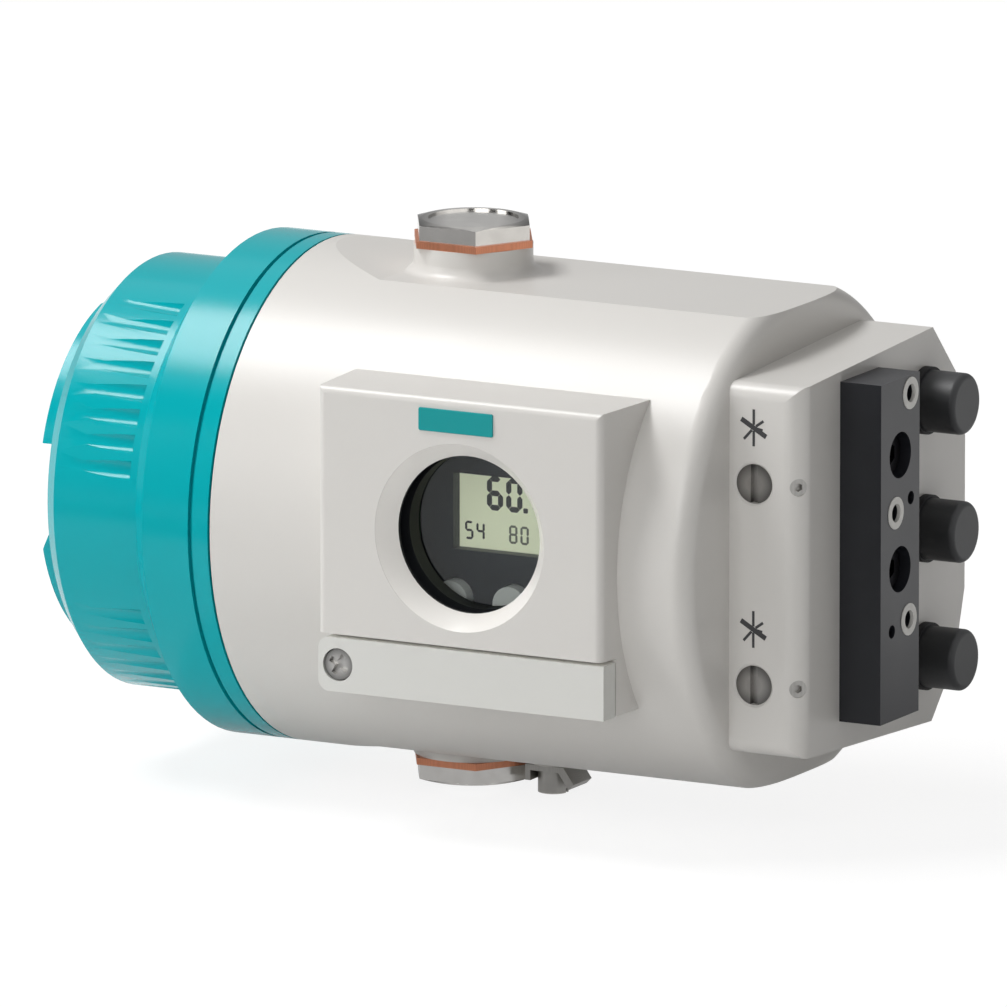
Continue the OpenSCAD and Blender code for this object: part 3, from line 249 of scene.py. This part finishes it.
def make_painted_light_box():
    """Lightens a colour where the vector lies between the low and the high corner of a box: painted light."""
    net, source, result = group("painted_light_box", [
        ("Color", COLOUR, rgba(WHITE)), ("Vector", VECTOR, ORIGIN), ("Low", VECTOR, ORIGIN),
        ("High", VECTOR, ORIGIN), ("Tone", FLOAT, 1.0)], [("Color", COLOUR)])
    place, low, high = (net.place(source.outputs[label]) for label in ("Vector", "Low", "High"))
    mask = 1.0
    for axis in "XYZ":
        past = net.math("GREATER_THAN", place[axis], low[axis])
        short = net.math("LESS_THAN", place[axis], high[axis])
        mask = net.math("MULTIPLY", mask, net.math("MULTIPLY", past, short))
    factor = net.span(mask, 0.0, 1.0, 1.0, source.outputs["Tone"])
    return put_out(net, result, Color=net.shade(source.outputs["Color"], factor))


PAINT_SKIN = make_paint_skin()
TURNED_METAL = make_turned_metal()
MOULDED_GRAIN = make_moulded_grain()
PAINTED_LIGHT_BOX = make_painted_light_box()


# Finishes

def finish_material(name, skin, colour, relief, skin_values, shader_values, centre=None, turn=ORIGIN):
    """A material whose Principled shader takes colour, roughness and bump from a skin group.
    relief is the depth of the bump in metres; centre and turn put the skin's Z axis on the piece's own
    axis."""
    material, net = clean_material(name)
    vector = net.add("ShaderNodeTexCoord").outputs["Object"]
    if centre is not None:
        vector = net.add("ShaderNodeMapping", {"Vector": vector, "Location": centre, "Rotation": turn},
                         vector_type="TEXTURE").outputs["Vector"]
    skin_node = net.add("ShaderNodeGroup", node_tree=skin)
    net.tree.links.new(vector, skin_node.inputs["Vector"])
    skin_node.inputs["Color"].default_value = rgba(colour)
    for key, value in skin_values.items():
        skin_node.inputs[key].default_value = value
    bump = net.add("ShaderNodeBump", {
        "Height": skin_node.outputs["Height"], "Distance": relief, "Strength": 1.0})
    shader = net.add("ShaderNodeBsdfPrincipled", {
        "Base Color": skin_node.outputs["Color"], "Roughness": skin_node.outputs["Roughness"],
        "Normal": bump.outputs["Normal"], **shader_values})
    net.add("ShaderNodeOutputMaterial", {"Surface": shader.outputs["BSDF"]})
    return material


def painted(name, colour, roughness, specular):
    """Sprayed paint."""
    return finish_material(name, PAINT_SKIN, colour, 12 * MICRON, {"Roughness": roughness},
                           {"Specular IOR Level": specular})


def metal(name, colour, roughness, centre, turn=ORIGIN, rings=900.0, rim=1.0, high=0.0, painted_rim_shade=0.45,
          squeeze=1.0):
    """Bare metal with turning marks about a centre, and with a rim darkened by painted shade; both show from
    a height on.
    """
    return finish_material(name, TURNED_METAL, colour, 6 * MICRON, {
        "Roughness": roughness, "Ring Scale": rings, "Rim Radius": rim, "Painted Rim Shade": painted_rim_shade,
        "Rim Squeeze": squeeze, "Ring Height": high}, {"Metallic": 1.0}, centre, turn)


def moulded(name, colour, roughness, grain=2500.0, relief=12 * MICRON, dust=0.15, specular=0.4):
    """Moulded plastic, rubber, print or an anodised skin."""
    return finish_material(name, MOULDED_GRAIN, colour, relief,
                           {"Roughness": roughness, "Grain Scale": grain, "Dust": dust},
                           {"Specular IOR Level": specular, "Metallic": 0.0})


def window_glass_material():
    """Clear glass that lets lamp light through to the display behind it."""
    material, net = clean_material("window_glass")
    glass = net.add("ShaderNodeBsdfPrincipled", {
        "Base Color": rgba((0.94, 0.97, 0.96)), "Roughness": 0.02, "Transmission Weight": 1.0, "IOR": 1.47,
        "Specular IOR Level": 0.3})
    clear = net.add("ShaderNodeBsdfTransparent", {"Color": rgba((0.93, 0.95, 0.94))})
    path = net.add("ShaderNodeLightPath")
    passing = net.math("MAXIMUM", path.outputs["Is Shadow Ray"], path.outputs["Is Diffuse Ray"])
    mix = net.add("ShaderNodeMixShader", {0: passing, 1: glass.outputs["BSDF"], 2: clear.outputs["BSDF"]})
    net.add("ShaderNodeOutputMaterial", {"Surface": mix.outputs["Shader"]})
    return material


def circuit_material():
    """Green solder mask with a grid of brighter copper tracks under it."""
    material, net = clean_material("solder_mask")
    vector = net.add("ShaderNodeTexCoord").outputs["Object"]
    tracks = net.add("ShaderNodeTexBrick", {
        "Vector": vector, "Scale": 260.0, "Mortar Size": 0.06, "Color1": rgba((0.008, 0.085, 0.040)),
        "Color2": rgba((0.010, 0.100, 0.048)), "Mortar": rgba((0.030, 0.190, 0.090))})
    rough = net.span(net.noise(vector, scale=900.0), 0.3, 0.7, 0.25, 0.4)
    shader = net.add("ShaderNodeBsdfPrincipled", {"Base Color": tracks.outputs["Color"], "Roughness": rough})
    net.add("ShaderNodeOutputMaterial", {"Surface": shader.outputs["BSDF"]})
    return material


def paint_bevel_highlight(material, centre, radius, depths, tone, smoother):
    """Paints a highlight on the bevel round the window: the lighter paint there is a painted highlight, while
    its smoother roughness is real; within a radius of its axis and between two depths along Y."""
    net = Nodes(material.node_tree)
    shader = net.tree.nodes["Principled BSDF"]
    skin = net.tree.nodes["Group"]
    place = net.place(net.tree.nodes["Texture Coordinate"].outputs["Object"])
    across = net.math("POWER", net.math("SUBTRACT", place["X"], centre.x), 2.0)
    up = net.math("POWER", net.math("SUBTRACT", place["Z"], centre.z), 2.0)
    inside = net.math("LESS_THAN", net.math("ADD", across, up), radius ** 2)
    behind = net.math("MULTIPLY", net.math("GREATER_THAN", place["Y"], depths[0]),
                      net.math("LESS_THAN", place["Y"], depths[1]))
    mask = net.math("MULTIPLY", inside, behind)
    colour = net.shade(skin.outputs["Color"], net.math("MULTIPLY_ADD", mask, tone, 1.0))
    rough = net.math("SUBTRACT", skin.outputs["Roughness"], net.math("MULTIPLY", mask, smoother))
    net.tree.links.new(colour, shader.inputs["Base Color"])
    net.tree.links.new(rough, shader.inputs["Roughness"])


def paint_seam_light(material, low, high, tone):
    """Makes the paint lighter between two corners of a box inside the seam over the plate: painted light that
    fills the seam's shade."""
    net = Nodes(material.node_tree)
    base = net.tree.nodes["Principled BSDF"].inputs["Base Color"]
    pale = net.add("ShaderNodeGroup", node_tree=PAINTED_LIGHT_BOX)
    for label, value in {"Low": low, "High": high, "Tone": tone}.items():
        pale.inputs[label].default_value = value
    net.tree.links.new(net.tree.nodes["Texture Coordinate"].outputs["Object"], pale.inputs["Vector"])
    net.tree.links.new(base.links[0].from_socket, pale.inputs["Color"])
    net.tree.links.new(pale.outputs["Color"], base)


# Places on the object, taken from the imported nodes

def middle(node):
    """The centre of a node's box."""
    low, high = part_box(node)
    return (low + high) / 2


LENGTHWISE = (0.0, pi / 2, 0.0)
CROSSWISE = (pi / 2, 0.0, 0.0)
ACROSS_VIEW = (0.0, 0.0, radians(28.0))
PLATE_LOW, PLATE_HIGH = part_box("button_plate")
FRONT_Y = PLATE_LOW.y
BEVEL_RADIUS = 24.55 * MM
BEVEL_DEPTHS = (FRONT_Y + 0.1 * MM, FRONT_Y + 6.0 * MM)
# The box inside the seam over the plate, and how much lighter its paint is made there: painted light over its
# shade.
SEAM_LOW = Vector((PLATE_LOW.x, FRONT_Y + 0.3 * MM, PLATE_HIGH.z - 0.05 * MM))
SEAM_HIGH = Vector((PLATE_HIGH.x - 0.3 * MM, FRONT_Y + 12.0 * MM, PLATE_HIGH.z + 0.91 * MM))
SEAM_PAINTED_LIGHT = 1.48
PIVOT_RIM, THROTTLE_RIM, ENTRY_RIM = 4.2 * MM, 5.1 * MM, 15.0 * MM
ENTRY_DISH = 0.7 * MM


# Finish of each node

def dress(material, *names):
    """Gives nodes their finish."""
    for name in names:
        nodes[name].data.materials.clear()
        nodes[name].data.materials.append(material)


body_paint = painted("body_paint", BODY_GREY, 0.33, 0.45)
plate_paint = painted("plate_paint", PLATE_GREY, 0.34, 0.40)
# The bevel round the window gets a painted highlight: its paint is made lighter there.
paint_bevel_highlight(body_paint, middle("window_glass"), BEVEL_RADIUS, BEVEL_DEPTHS, tone=0.36, smoother=0.12)
# The seam over the plate is painted lighter: painted light over the shade in the seam.
for paint in (body_paint, plate_paint):
    paint_seam_light(paint, SEAM_LOW, SEAM_HIGH, SEAM_PAINTED_LIGHT)
dress(body_paint, "housing")
dress(plate_paint, "button_plate")
dress(painted("cover_paint", TEAL, 0.19, 0.24), "screw_cover")
dress(window_glass_material(), "window_glass")
dress(circuit_material(), "circuit_board")

display_face = moulded("display_face", DISPLAY_GREEN, 0.35, 1500.0, 4 * MICRON, 0.02, 0.3)
# The display face glows: painted light that stands in for the lamp light on it behind the glass.
display_shader = display_face.node_tree.nodes["Principled BSDF"]
display_shader.inputs["Emission Color"].default_value = rgba(DISPLAY_GREEN)
display_shader.inputs["Emission Strength"].default_value = DISPLAY_PAINTED_LIGHT
dress(display_face, "lcd_panel")

# Moulded finishes: colour, roughness, grain per metre, depth of the grain, dust, specular
dress(moulded("seal_rubber", RUBBER_BLACK, 0.62, 1800.0, 20 * MICRON, 0.3, 0.25),
      "cover_o_ring", "window_seal", "port_plug_seal_1", "port_plug_seal_2", "port_plug_seal_3")
dress(moulded("module_plastic", MODULE_BLACK, 0.42, 2200.0, 10 * MICRON, 0.1, 0.25), "display_module")
dress(moulded("key_plastic", KEY_GREY, 0.40, 2600.0, 8 * MICRON, 0.1), "key_cap_1", "key_cap_2", "key_cap_3")
dress(moulded("plug_plastic", PLASTIC_BLACK, 0.46, 2000.0, 15 * MICRON, 0.25, 0.5),
      "port_plug_1", "port_plug_2", "port_plug_3")
dress(moulded("ring_plastic", RING_WHITE, 0.45, 2400.0, 8 * MICRON, 0.05), "port_seal_rings")
dress(moulded("black_anodised", ANODISED_BLACK, 0.36, 3200.0, 8 * MICRON, 0.2, 0.52), "connection_block")
dress(moulded("ring_black", ANODISED_BLACK, 0.50, 3200.0, 8 * MICRON, 0.05, 0.30), "window_retaining_ring")
dress(moulded("terminal_plastic", TERMINAL_GREEN, 0.45), "terminal_block")
dress(moulded("pot_plastic", POT_BLUE, 0.40), "potentiometer")
dress(moulded("gear_plastic", GEAR_TAN, 0.45), "drive_gear", "pot_pinion")

# Metals: colour, roughness, and the axis of their turning marks
# The pivot screw's rim radius paints shade round the edge of its head.
dress(metal("pivot_steel", PIVOT_GREY, 0.38, middle("button_plate_screw"), CROSSWISE, rim=PIVOT_RIM),
      "button_plate_screw")
dress(metal("screw_head", SCREW_GREY, 0.38, middle("terminal_screws"), CROSSWISE),
      "carrier_screws", "terminal_screws")
dress(metal("lock_zinc", LOCK_GREY, 0.36, middle("throttle_lock_screws")), "throttle_lock_screws")
dress(metal("black_screw", BLACKED_STEEL, 0.40, middle("connection_block_screws"), LENGTHWISE),
      "connection_block_screws")
dress(metal("entry_copper", COPPER, 0.45, middle("upper_entry_washer"), rings=1200.0),
      "upper_entry_washer", "lower_entry_washer")
dress(metal("earth_steel", EARTH_GREY, 0.36, middle("earth_screw")), "earth_clamp", "earth_screw")
dress(metal("ground_steel", GROUND_GREY, 0.20, middle("feedback_shaft"), CROSSWISE),
      "push_rod_1", "push_rod_2", "push_rod_3", "feedback_shaft")
dress(metal("sheet_aluminium", SHEET_GREY, 0.40, middle("carrier_plate"), CROSSWISE, rings=300.0),
      "carrier_plate")
dress(metal("valve_aluminium", VALVE_GREY, 0.42, middle("piezo_valve_block"), LENGTHWISE, rings=300.0),
      "piezo_valve_block")
dress(metal("sintered_bronze", BRONZE, 0.45, middle("shaft_bush"), CROSSWISE), "shaft_bush")
for side in ("upper", "lower"):
    throttle = "throttle_screw_" + side
    # The throttle screw's rim radius paints shade round the edge of its head.
    dress(metal("throttle_steel_" + side, THROTTLE_GREY, 0.36, middle(throttle), CROSSWISE, rim=THROTTLE_RIM),
          throttle)
    plug = side + "_entry_plug"
    low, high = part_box(plug)
    # The entry plug's turned top gets a painted reflection: dark on its left and right.
    dress(metal("entry_steel_" + side, STAINLESS, 0.18, middle(plug), ACROSS_VIEW, rings=420.0, rim=ENTRY_RIM,
                high=(high.z - low.z) / 2 - ENTRY_DISH, painted_rim_shade=0.12, squeeze=0.3), plug)


def make_smoothing(limit):
    """Modifier tree that joins a solid's loose triangles and shades them as one skin, with every edge that
    bends more than the limit left crisp."""
    tree = bpy.data.node_groups.new("smooth_skin", "GeometryNodeTree")
    for way in ("INPUT", "OUTPUT"):
        tree.interface.new_socket(name="Geometry", in_out=way, socket_type="NodeSocketGeometry")
    net = Nodes(tree)
    joined = net.add("GeometryNodeMergeByDistance", {
        "Geometry": net.add("NodeGroupInput").outputs[0], "Distance": MICRON})
    bend = net.add("GeometryNodeInputMeshEdgeAngle").outputs["Unsigned Angle"]
    skin = net.add("GeometryNodeSetMeshNormal", {
        "Mesh": joined.outputs[0], "Remove Custom": True, "Face Sharpness": False,
        "Edge Sharpness": net.math("GREATER_THAN", bend, limit)}, mode="SHARPNESS")
    net.add("NodeGroupOutput", {0: skin.outputs[0]})
    return tree


CRISP_BEND = radians(24.0)
nodes["screw_cover"].modifiers.new("smooth_skin", "NODES").node_group = make_smoothing(CRISP_BEND)


# New pieces: outlines lofted along Y, each shape as its points, its faces' corners and their counts

def rounded_rectangle(width, height, radius, steps=6):
    """Points round a rectangle with round corners about the origin: four quarter arcs, anticlockwise."""
    angle = np.linspace(0.0, pi / 2, steps)
    turn = np.repeat(np.arange(4) * pi / 2, steps)
    across = np.repeat(np.array([1.0, -1.0, -1.0, 1.0]), steps) * (width / 2 - radius)
    up = np.repeat(np.array([1.0, 1.0, -1.0, -1.0]), steps) * (height / 2 - radius)
    bend = np.tile(angle, 4) + turn
    return np.stack([across + radius * np.cos(bend), up + radius * np.sin(bend)], axis=1)


def front_points(outline, depth, centre):
    """Puts a flat outline in XZ on a plane at a depth along Y."""
    flat = np.asarray(outline)
    y = np.full(len(flat), depth)
    return np.stack([centre[0] + flat[:, 0], y, centre[1] + flat[:, 1]], axis=1)


def loft(rings):
    """Quads between rings of equal point counts, the first and the last ring closed by a flat face."""
    rings = np.asarray(rings)
    count, around = rings.shape[:2]
    index = np.arange(count * around).reshape(count, around)
    here, after = index[:-1], index[1:]
    quads = np.stack([here, np.roll(here, -1, 1), np.roll(after, -1, 1), after], axis=-1)
    corners = np.concatenate([quads.ravel(), index[0][::-1], index[-1]])
    sizes = np.append(np.full(quads.size // 4, 4), [around, around])
    return rings.reshape(-1, 3), corners, sizes


def prism(outline, depth_back, depth_front, centre=(0.0, 0.0)):
    """An outline carried from one depth along Y to another."""
    return loft([front_points(outline, depth_back, centre), front_points(outline, depth_front, centre)])


def join(shapes):
    """Several shapes as one: the points of each follow those of the shapes before it."""
    points, corners, sizes = zip(*shapes)
    starts = np.cumsum([0] + [len(part) for part in points[:-1]])
    shift = np.repeat(starts, [len(part) for part in corners])
    return np.concatenate(points), np.concatenate(corners) + shift, np.concatenate(sizes)


def piece(name, shape, material, body):
    """A mesh object of a shape, finished, riding on a body, with its faces turned outwards."""
    points, corners, sizes = shape
    faces = [face.tolist() for face in np.split(corners, np.cumsum(sizes)[:-1])]
    mesh = bpy.data.meshes.new(name)
    mesh.from_pydata(points.tolist(), [], faces)
    mesh.validate()
    made = bpy.data.objects.new(name, mesh)
    scene.collection.objects.link(made)
    work = bmesh.new()
    work.from_mesh(mesh)
    bmesh.ops.recalc_face_normals(work, faces=work.faces)
    work.to_mesh(mesh)
    work.free()
    mesh.materials.append(material)
    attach(made, body)


# The bare teal tag above the window
TAG_CENTRE = (-0.9 * MM, 37.6 * MM)
TAG_W, TAG_H, TAG_CORNER = 21.5 * MM, 6.0 * MM, 0.5 * MM
TAG_PROUD, TAG_EDGE, TAG_SUNK = 0.45 * MM, 0.2 * MM, 0.1 * MM
TAG_EDGE_MID = 0.3 * TAG_EDGE


def tag_shape():
    """A thin plate from its sunk back to its front along -Y, its front edge broken by two small bevels."""
    front = FRONT_Y - TAG_PROUD
    rings = [(0.0, FRONT_Y + TAG_SUNK), (0.0, front + TAG_EDGE), (TAG_EDGE_MID, front + TAG_EDGE_MID),
             (TAG_EDGE, front)]
    outlines = [(rounded_rectangle(TAG_W - 2 * inset, TAG_H - 2 * inset, TAG_CORNER), depth)
                for inset, depth in rings]
    return loft([front_points(outline, depth, TAG_CENTRE) for outline, depth in outlines])


tag_finish = painted("tag_finish", TAG_TEAL, 0.34, 0.35)
piece("maker_tag", tag_shape(), tag_finish, "housing_body")


# The display's digits: bars with pointed ends, laid out in the seven places of a digit
LCD_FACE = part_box("lcd_panel")[0].y
LCD_MID = middle("lcd_panel")
DIGIT_BACK, DIGIT_FRONT = LCD_FACE + 0.05 * MM, LCD_FACE - 0.08 * MM
SEGMENTS = {"0": "abcdef", "4": "fgbc", "5": "afgcd", "6": "afgedc", "8": "abcdefg"}
# Shares: a digit's width of half its height, and what a bar is short by of its thickness
DIGIT_WIDTH, BAR_GAP = 0.86, 0.08
BIG_H, SMALL_H = 7.5 * MM, 4.2 * MM
BIG_T, SMALL_T = 1.45 * MM, 0.6 * MM
BIG_Z, SMALL_Z = LCD_MID.z + 4.8 * MM, LCD_MID.z - 5.5 * MM
POINT_SIDE = 1.3 * MM
POINT_AT = (2.2 * MM, BIG_Z - BIG_H / 2)
BIG_ROW = (("6", -6.7), ("0", -1.1), ("0", 6.6))
DARK_ROW = (("5", -14.2), ("4", -10.9))
FAINT_ROW = (("8", -1.4), ("0", 1.9))


def bar_outline(length, thick, upright):
    """A bar with pointed ends: six points, lying or upright."""
    half, tip = length / 2, thick / 2
    flat = np.array([(-half, 0.0), (-half + tip, -tip), (half - tip, -tip), (half, 0.0), (half - tip, tip),
                     (-half + tip, tip)])
    return flat[:, ::-1] * (-1.0, 1.0) if upright else flat


def digit_shapes(figure, centre, height, thick):
    """The lit bars of one figure, each a thin prism on the display's face. The height runs from the middle of
    the bottom bar to that of the top bar."""
    tall = height / 2
    wide = tall * DIGIT_WIDTH
    places = {"a": (0.0, tall, False), "g": (0.0, 0.0, False), "d": (0.0, -tall, False),
              "b": (wide / 2, tall / 2, True), "c": (wide / 2, -tall / 2, True),
              "f": (-wide / 2, tall / 2, True), "e": (-wide / 2, -tall / 2, True)}
    shapes = []
    for key in SEGMENTS[figure]:
        x, z, upright = places[key]
        outline = bar_outline((tall if upright else wide) - thick * BAR_GAP, thick, upright)
        shapes.append(prism(outline, DIGIT_BACK, DIGIT_FRONT, (centre[0] + x, centre[1] + z)))
    return shapes


def row_shapes(row, z, height, thick):
    """The bars of a row of figures, each given with its place along X in millimetres."""
    return [shape for figure, x in row for shape in digit_shapes(figure, (x * MM, z), height, thick)]


point = prism(rounded_rectangle(POINT_SIDE, POINT_SIDE, POINT_SIDE / 4), DIGIT_BACK, DIGIT_FRONT, POINT_AT)
dark_shapes = row_shapes(BIG_ROW, BIG_Z, BIG_H, BIG_T) + [point]
dark_shapes += row_shapes(DARK_ROW, SMALL_Z, SMALL_H, SMALL_T)
faint_shapes = row_shapes(FAINT_ROW, SMALL_Z, SMALL_H, SMALL_T)
PRINT_GRAIN, PRINT_RELIEF, PRINT_DUST = 3000.0, 2 * MICRON, 0.0
digit_ink = moulded("digit_ink", DIGIT_INK, 0.5, PRINT_GRAIN, PRINT_RELIEF, PRINT_DUST)
faint_ink = moulded("faint_ink", FAINT_INK, 0.5, PRINT_GRAIN, PRINT_RELIEF, PRINT_DUST)
piece("display_digits", join(dark_shapes), digit_ink, "housing_body")
piece("display_faint_digits", join(faint_shapes), faint_ink, "housing_body")


# Prints on the pneumatic boss: an adjusting sign above each throttle screw
BOSS_FRONT_Y = -92.4 * MM
SIGN_BACK, SIGN_FRONT = BOSS_FRONT_Y + 0.05 * MM, BOSS_FRONT_Y - 0.06 * MM
SLANT_FRONT = SIGN_FRONT - 0.02 * MM
SIGN_X, SIGN_RISE = 0.1 * MM, 14.7 * MM
# Rays: angle from the vertical in degrees, and reach in millimetres
SIGN_RAYS = ((0.0, 4.8), (55.0, 3.4), (100.0, 2.6), (180.0, 4.8), (222.0, 4.2), (300.0, 3.0))
RAY_START, RAY_T = 0.8 * MM, 0.7 * MM
SLANT, SLANT_REACH, SLANT_T = np.array([0.87, -0.50]), 4.1 * MM, 1.3 * MM


def stroke(start, end, thick, depth_front):
    """A flat stroke between two points in XZ, as a prism: half its thickness to each side of their line."""
    along = (end - start) / np.linalg.norm(end - start)
    across = np.array([-along[1], along[0]]) * thick / 2
    outline = np.array([start - across, end - across, end + across, start + across])
    return prism(outline, SIGN_BACK, depth_front)


def sign_shapes(at):
    """Thin rays round a point, crossed by a thick slanting stroke."""
    shapes = []
    for turn, reach in SIGN_RAYS:
        ray = np.array([sin(radians(turn)), cos(radians(turn))])
        shapes.append(stroke(at + RAY_START * ray, at + reach * MM * ray, RAY_T, SIGN_FRONT))
    shapes.append(stroke(at - SLANT_REACH * SLANT, at + SLANT_REACH * SLANT, SLANT_T, SLANT_FRONT))
    return shapes


sign_ink = moulded("sign_ink", SIGN_INK, 0.5, PRINT_GRAIN, PRINT_RELIEF, PRINT_DUST)
for side in ("upper", "lower"):
    screw = middle("throttle_screw_" + side)
    shapes = sign_shapes(np.array([screw.x + SIGN_X, screw.z + SIGN_RISE]))
    piece("throttle_sign_" + side, join(shapes), sign_ink, "housing_body")


# Studio: world, floor, walls, lamps and camera
AMBIENT = 0.25
FLOOR_HALF, FLOOR_Z = 3.0, cad_box[0].z - 0.5 * MM
WALL_LEFT, WALL_RIGHT, WALL_DEPTH = -3.5, 2.5, 2.8
WALL_FOOT, WALL_TOP = cad_box[0].z + 0.2 * MM, 3.4
DARK_STRIP = (-0.34, -0.62)
# The grey patch under the object, seen in reflections alone, is painted shade for the floor's shadow under
# it.
PAINTED_SHADE_PATCH = ((-0.112, -0.34), (0.30, 0.12))
DARK_GLOW, GREY_GLOW = 0.01, 0.45
LAMP_AIM = Vector((-20.0, -50.0, 0.0)) * MM


def seen_rays(net):
    """1 for rays that show the background: camera, glossy and transmission rays."""
    path = net.add("ShaderNodeLightPath")
    seen = net.math("MAXIMUM", path.outputs["Is Camera Ray"], path.outputs["Is Glossy Ray"])
    return net.math("MAXIMUM", seen, path.outputs["Is Transmission Ray"])


def make_world():
    """White where it is seen, and an even soft fill where it lights."""
    world = bpy.data.worlds.new("studio")
    scene.world = world
    world.use_nodes = True
    world.node_tree.nodes.clear()
    net = Nodes(world.node_tree)
    fill = net.add("ShaderNodeBackground", {"Color": rgba((1.0, 0.99, 0.98)), "Strength": AMBIENT})
    white = net.add("ShaderNodeBackground", {"Color": rgba(WHITE), "Strength": 1.0})
    mix = net.add("ShaderNodeMixShader", {0: seen_rays(net), 1: fill.outputs[0], 2: white.outputs[0]})
    net.add("ShaderNodeOutputWorld", {"Surface": mix.outputs["Shader"]})


def make_floor():
    """A pale floor that shows near white and keeps a faint shadow."""
    mesh = bpy.data.meshes.new("floor")
    corners = [(x * FLOOR_HALF, y * FLOOR_HALF, FLOOR_Z) for x, y in ((-1, -1), (1, -1), (1, 1), (-1, 1))]
    mesh.from_pydata(corners, [], [(0, 1, 2, 3)])
    floor = bpy.data.objects.new("floor", mesh)
    scene.collection.objects.link(floor)
    material, net = clean_material("pale_floor")
    pale = net.add("ShaderNodeBsdfDiffuse", {"Color": rgba((0.8, 0.8, 0.8))})
    faint = net.add("ShaderNodeBsdfDiffuse", {"Color": rgba((0.22, 0.22, 0.22))})
    glow = net.add("ShaderNodeEmission", {"Color": rgba(WHITE), "Strength": 0.84})
    shown = net.add("ShaderNodeAddShader", {0: faint.outputs[0], 1: glow.outputs[0]})
    mix = net.add("ShaderNodeMixShader", {0: seen_rays(net), 1: pale.outputs[0], 2: shown.outputs[0]})
    net.add("ShaderNodeOutputMaterial", {"Surface": mix.outputs["Shader"]})
    mesh.materials.append(material)


def wall_material(name, glow):
    """A wall of one even brightness."""
    material, net = clean_material(name)
    shine = net.add("ShaderNodeEmission", {"Color": rgba(WHITE), "Strength": glow})
    net.add("ShaderNodeOutputMaterial", {"Surface": shine.outputs[0]})
    return material


def make_walls():
    """Walls for reflections alone: dark in front, on the near half of the left and on a strip of the floor;
    grey behind, on the far half of the left, on the floor before the strip and on a patch under the
    object, where the grey is painted shade standing in for the floor's shadow under it."""
    near, far = DARK_STRIP
    dark, grey = 0, 1
    flat = [((WALL_LEFT, near), (WALL_RIGHT, far), dark), ((WALL_LEFT, far), (WALL_RIGHT, -WALL_DEPTH), grey),
            (*PAINTED_SHADE_PATCH, grey)]
    floors = [(x, y, WALL_FOOT) for (x0, y0), (x1, y1), _ in flat for x, y in (
        (x0, y0), (x1, y0), (x1, y1), (x0, y1))]
    upright = [((WALL_LEFT, -WALL_DEPTH), (WALL_RIGHT, -WALL_DEPTH), dark),
               ((WALL_LEFT, -WALL_DEPTH), (WALL_LEFT, 0.0), dark),
               ((WALL_LEFT, 0.0), (WALL_LEFT, WALL_DEPTH), grey),
               ((WALL_LEFT, WALL_DEPTH), (WALL_RIGHT, WALL_DEPTH), grey)]
    sides = [(*corner, z) for start, end, _ in upright for corner, z in (
        (start, WALL_FOOT), (end, WALL_FOOT), (end, WALL_TOP), (start, WALL_TOP))]
    mesh = bpy.data.meshes.new("studio_walls")
    mesh.from_pydata(floors + sides, [], np.arange(len(floors + sides)).reshape(-1, 4).tolist())
    walls = bpy.data.objects.new("studio_walls", mesh)
    scene.collection.objects.link(walls)
    mesh.materials.append(wall_material("dark_wall", DARK_GLOW))
    mesh.materials.append(wall_material("grey_wall", GREY_GLOW))
    mesh.polygons.foreach_set("material_index", [tint for _, _, tint in flat + upright])
    walls.visible_camera = walls.visible_diffuse = walls.visible_shadow = walls.visible_transmission = False


def softbox(name, direction, distance, width, height, power, mirrored=True):
    """A rectangular lamp that faces the object from a direction; glossy pieces mirror it or not."""
    lamp = bpy.data.lights.new(name, "AREA")
    lamp.shape = "RECTANGLE"
    lamp.size, lamp.size_y = width, height
    lamp.energy = power
    made = bpy.data.objects.new(name, lamp)
    scene.collection.objects.link(made)
    towards = Vector(direction).normalized()
    made.location = LAMP_AIM + towards * distance
    made.rotation_euler = towards.to_track_quat("Z", "Y").to_euler()
    made.visible_camera = False
    made.visible_glossy = mirrored


def make_camera():
    """A long lens whose picture has the photograph's scale at the view point."""
    camera = bpy.data.cameras.new("camera")
    camera.sensor_width = SENSOR
    camera.lens = SENSOR * VIEW_DISTANCE * PIXELS_PER_METRE / PICTURE_SIDE
    camera.clip_end = CLIP_END
    made = bpy.data.objects.new("camera", camera)
    scene.collection.objects.link(made)
    made.location = VIEW_POINT + VIEW_BACK * VIEW_DISTANCE
    made.rotation_euler = VIEW_BACK.to_track_quat("Z", "Y").to_euler()
    scene.camera = made


make_world()
make_floor()
make_walls()
# Lamps: direction, distance, width and height in metres, power in watts
softbox("overhead", (-0.46, -0.22, 0.86), 1.5, 0.75, 0.45, 14.6)
softbox("back_fill", (-0.20, 0.90, 0.45), 2.0, 1.2, 1.0, 6.0, mirrored=False)
softbox("left_fill", (-0.75, -0.62, 0.25), 2.0, 1.0, 1.0, 7.8)
softbox("front_fill", (0.10, -0.92, 0.38), 2.0, 1.2, 1.0, 10.5)
make_camera()
scene.view_settings.view_transform = "Standard"
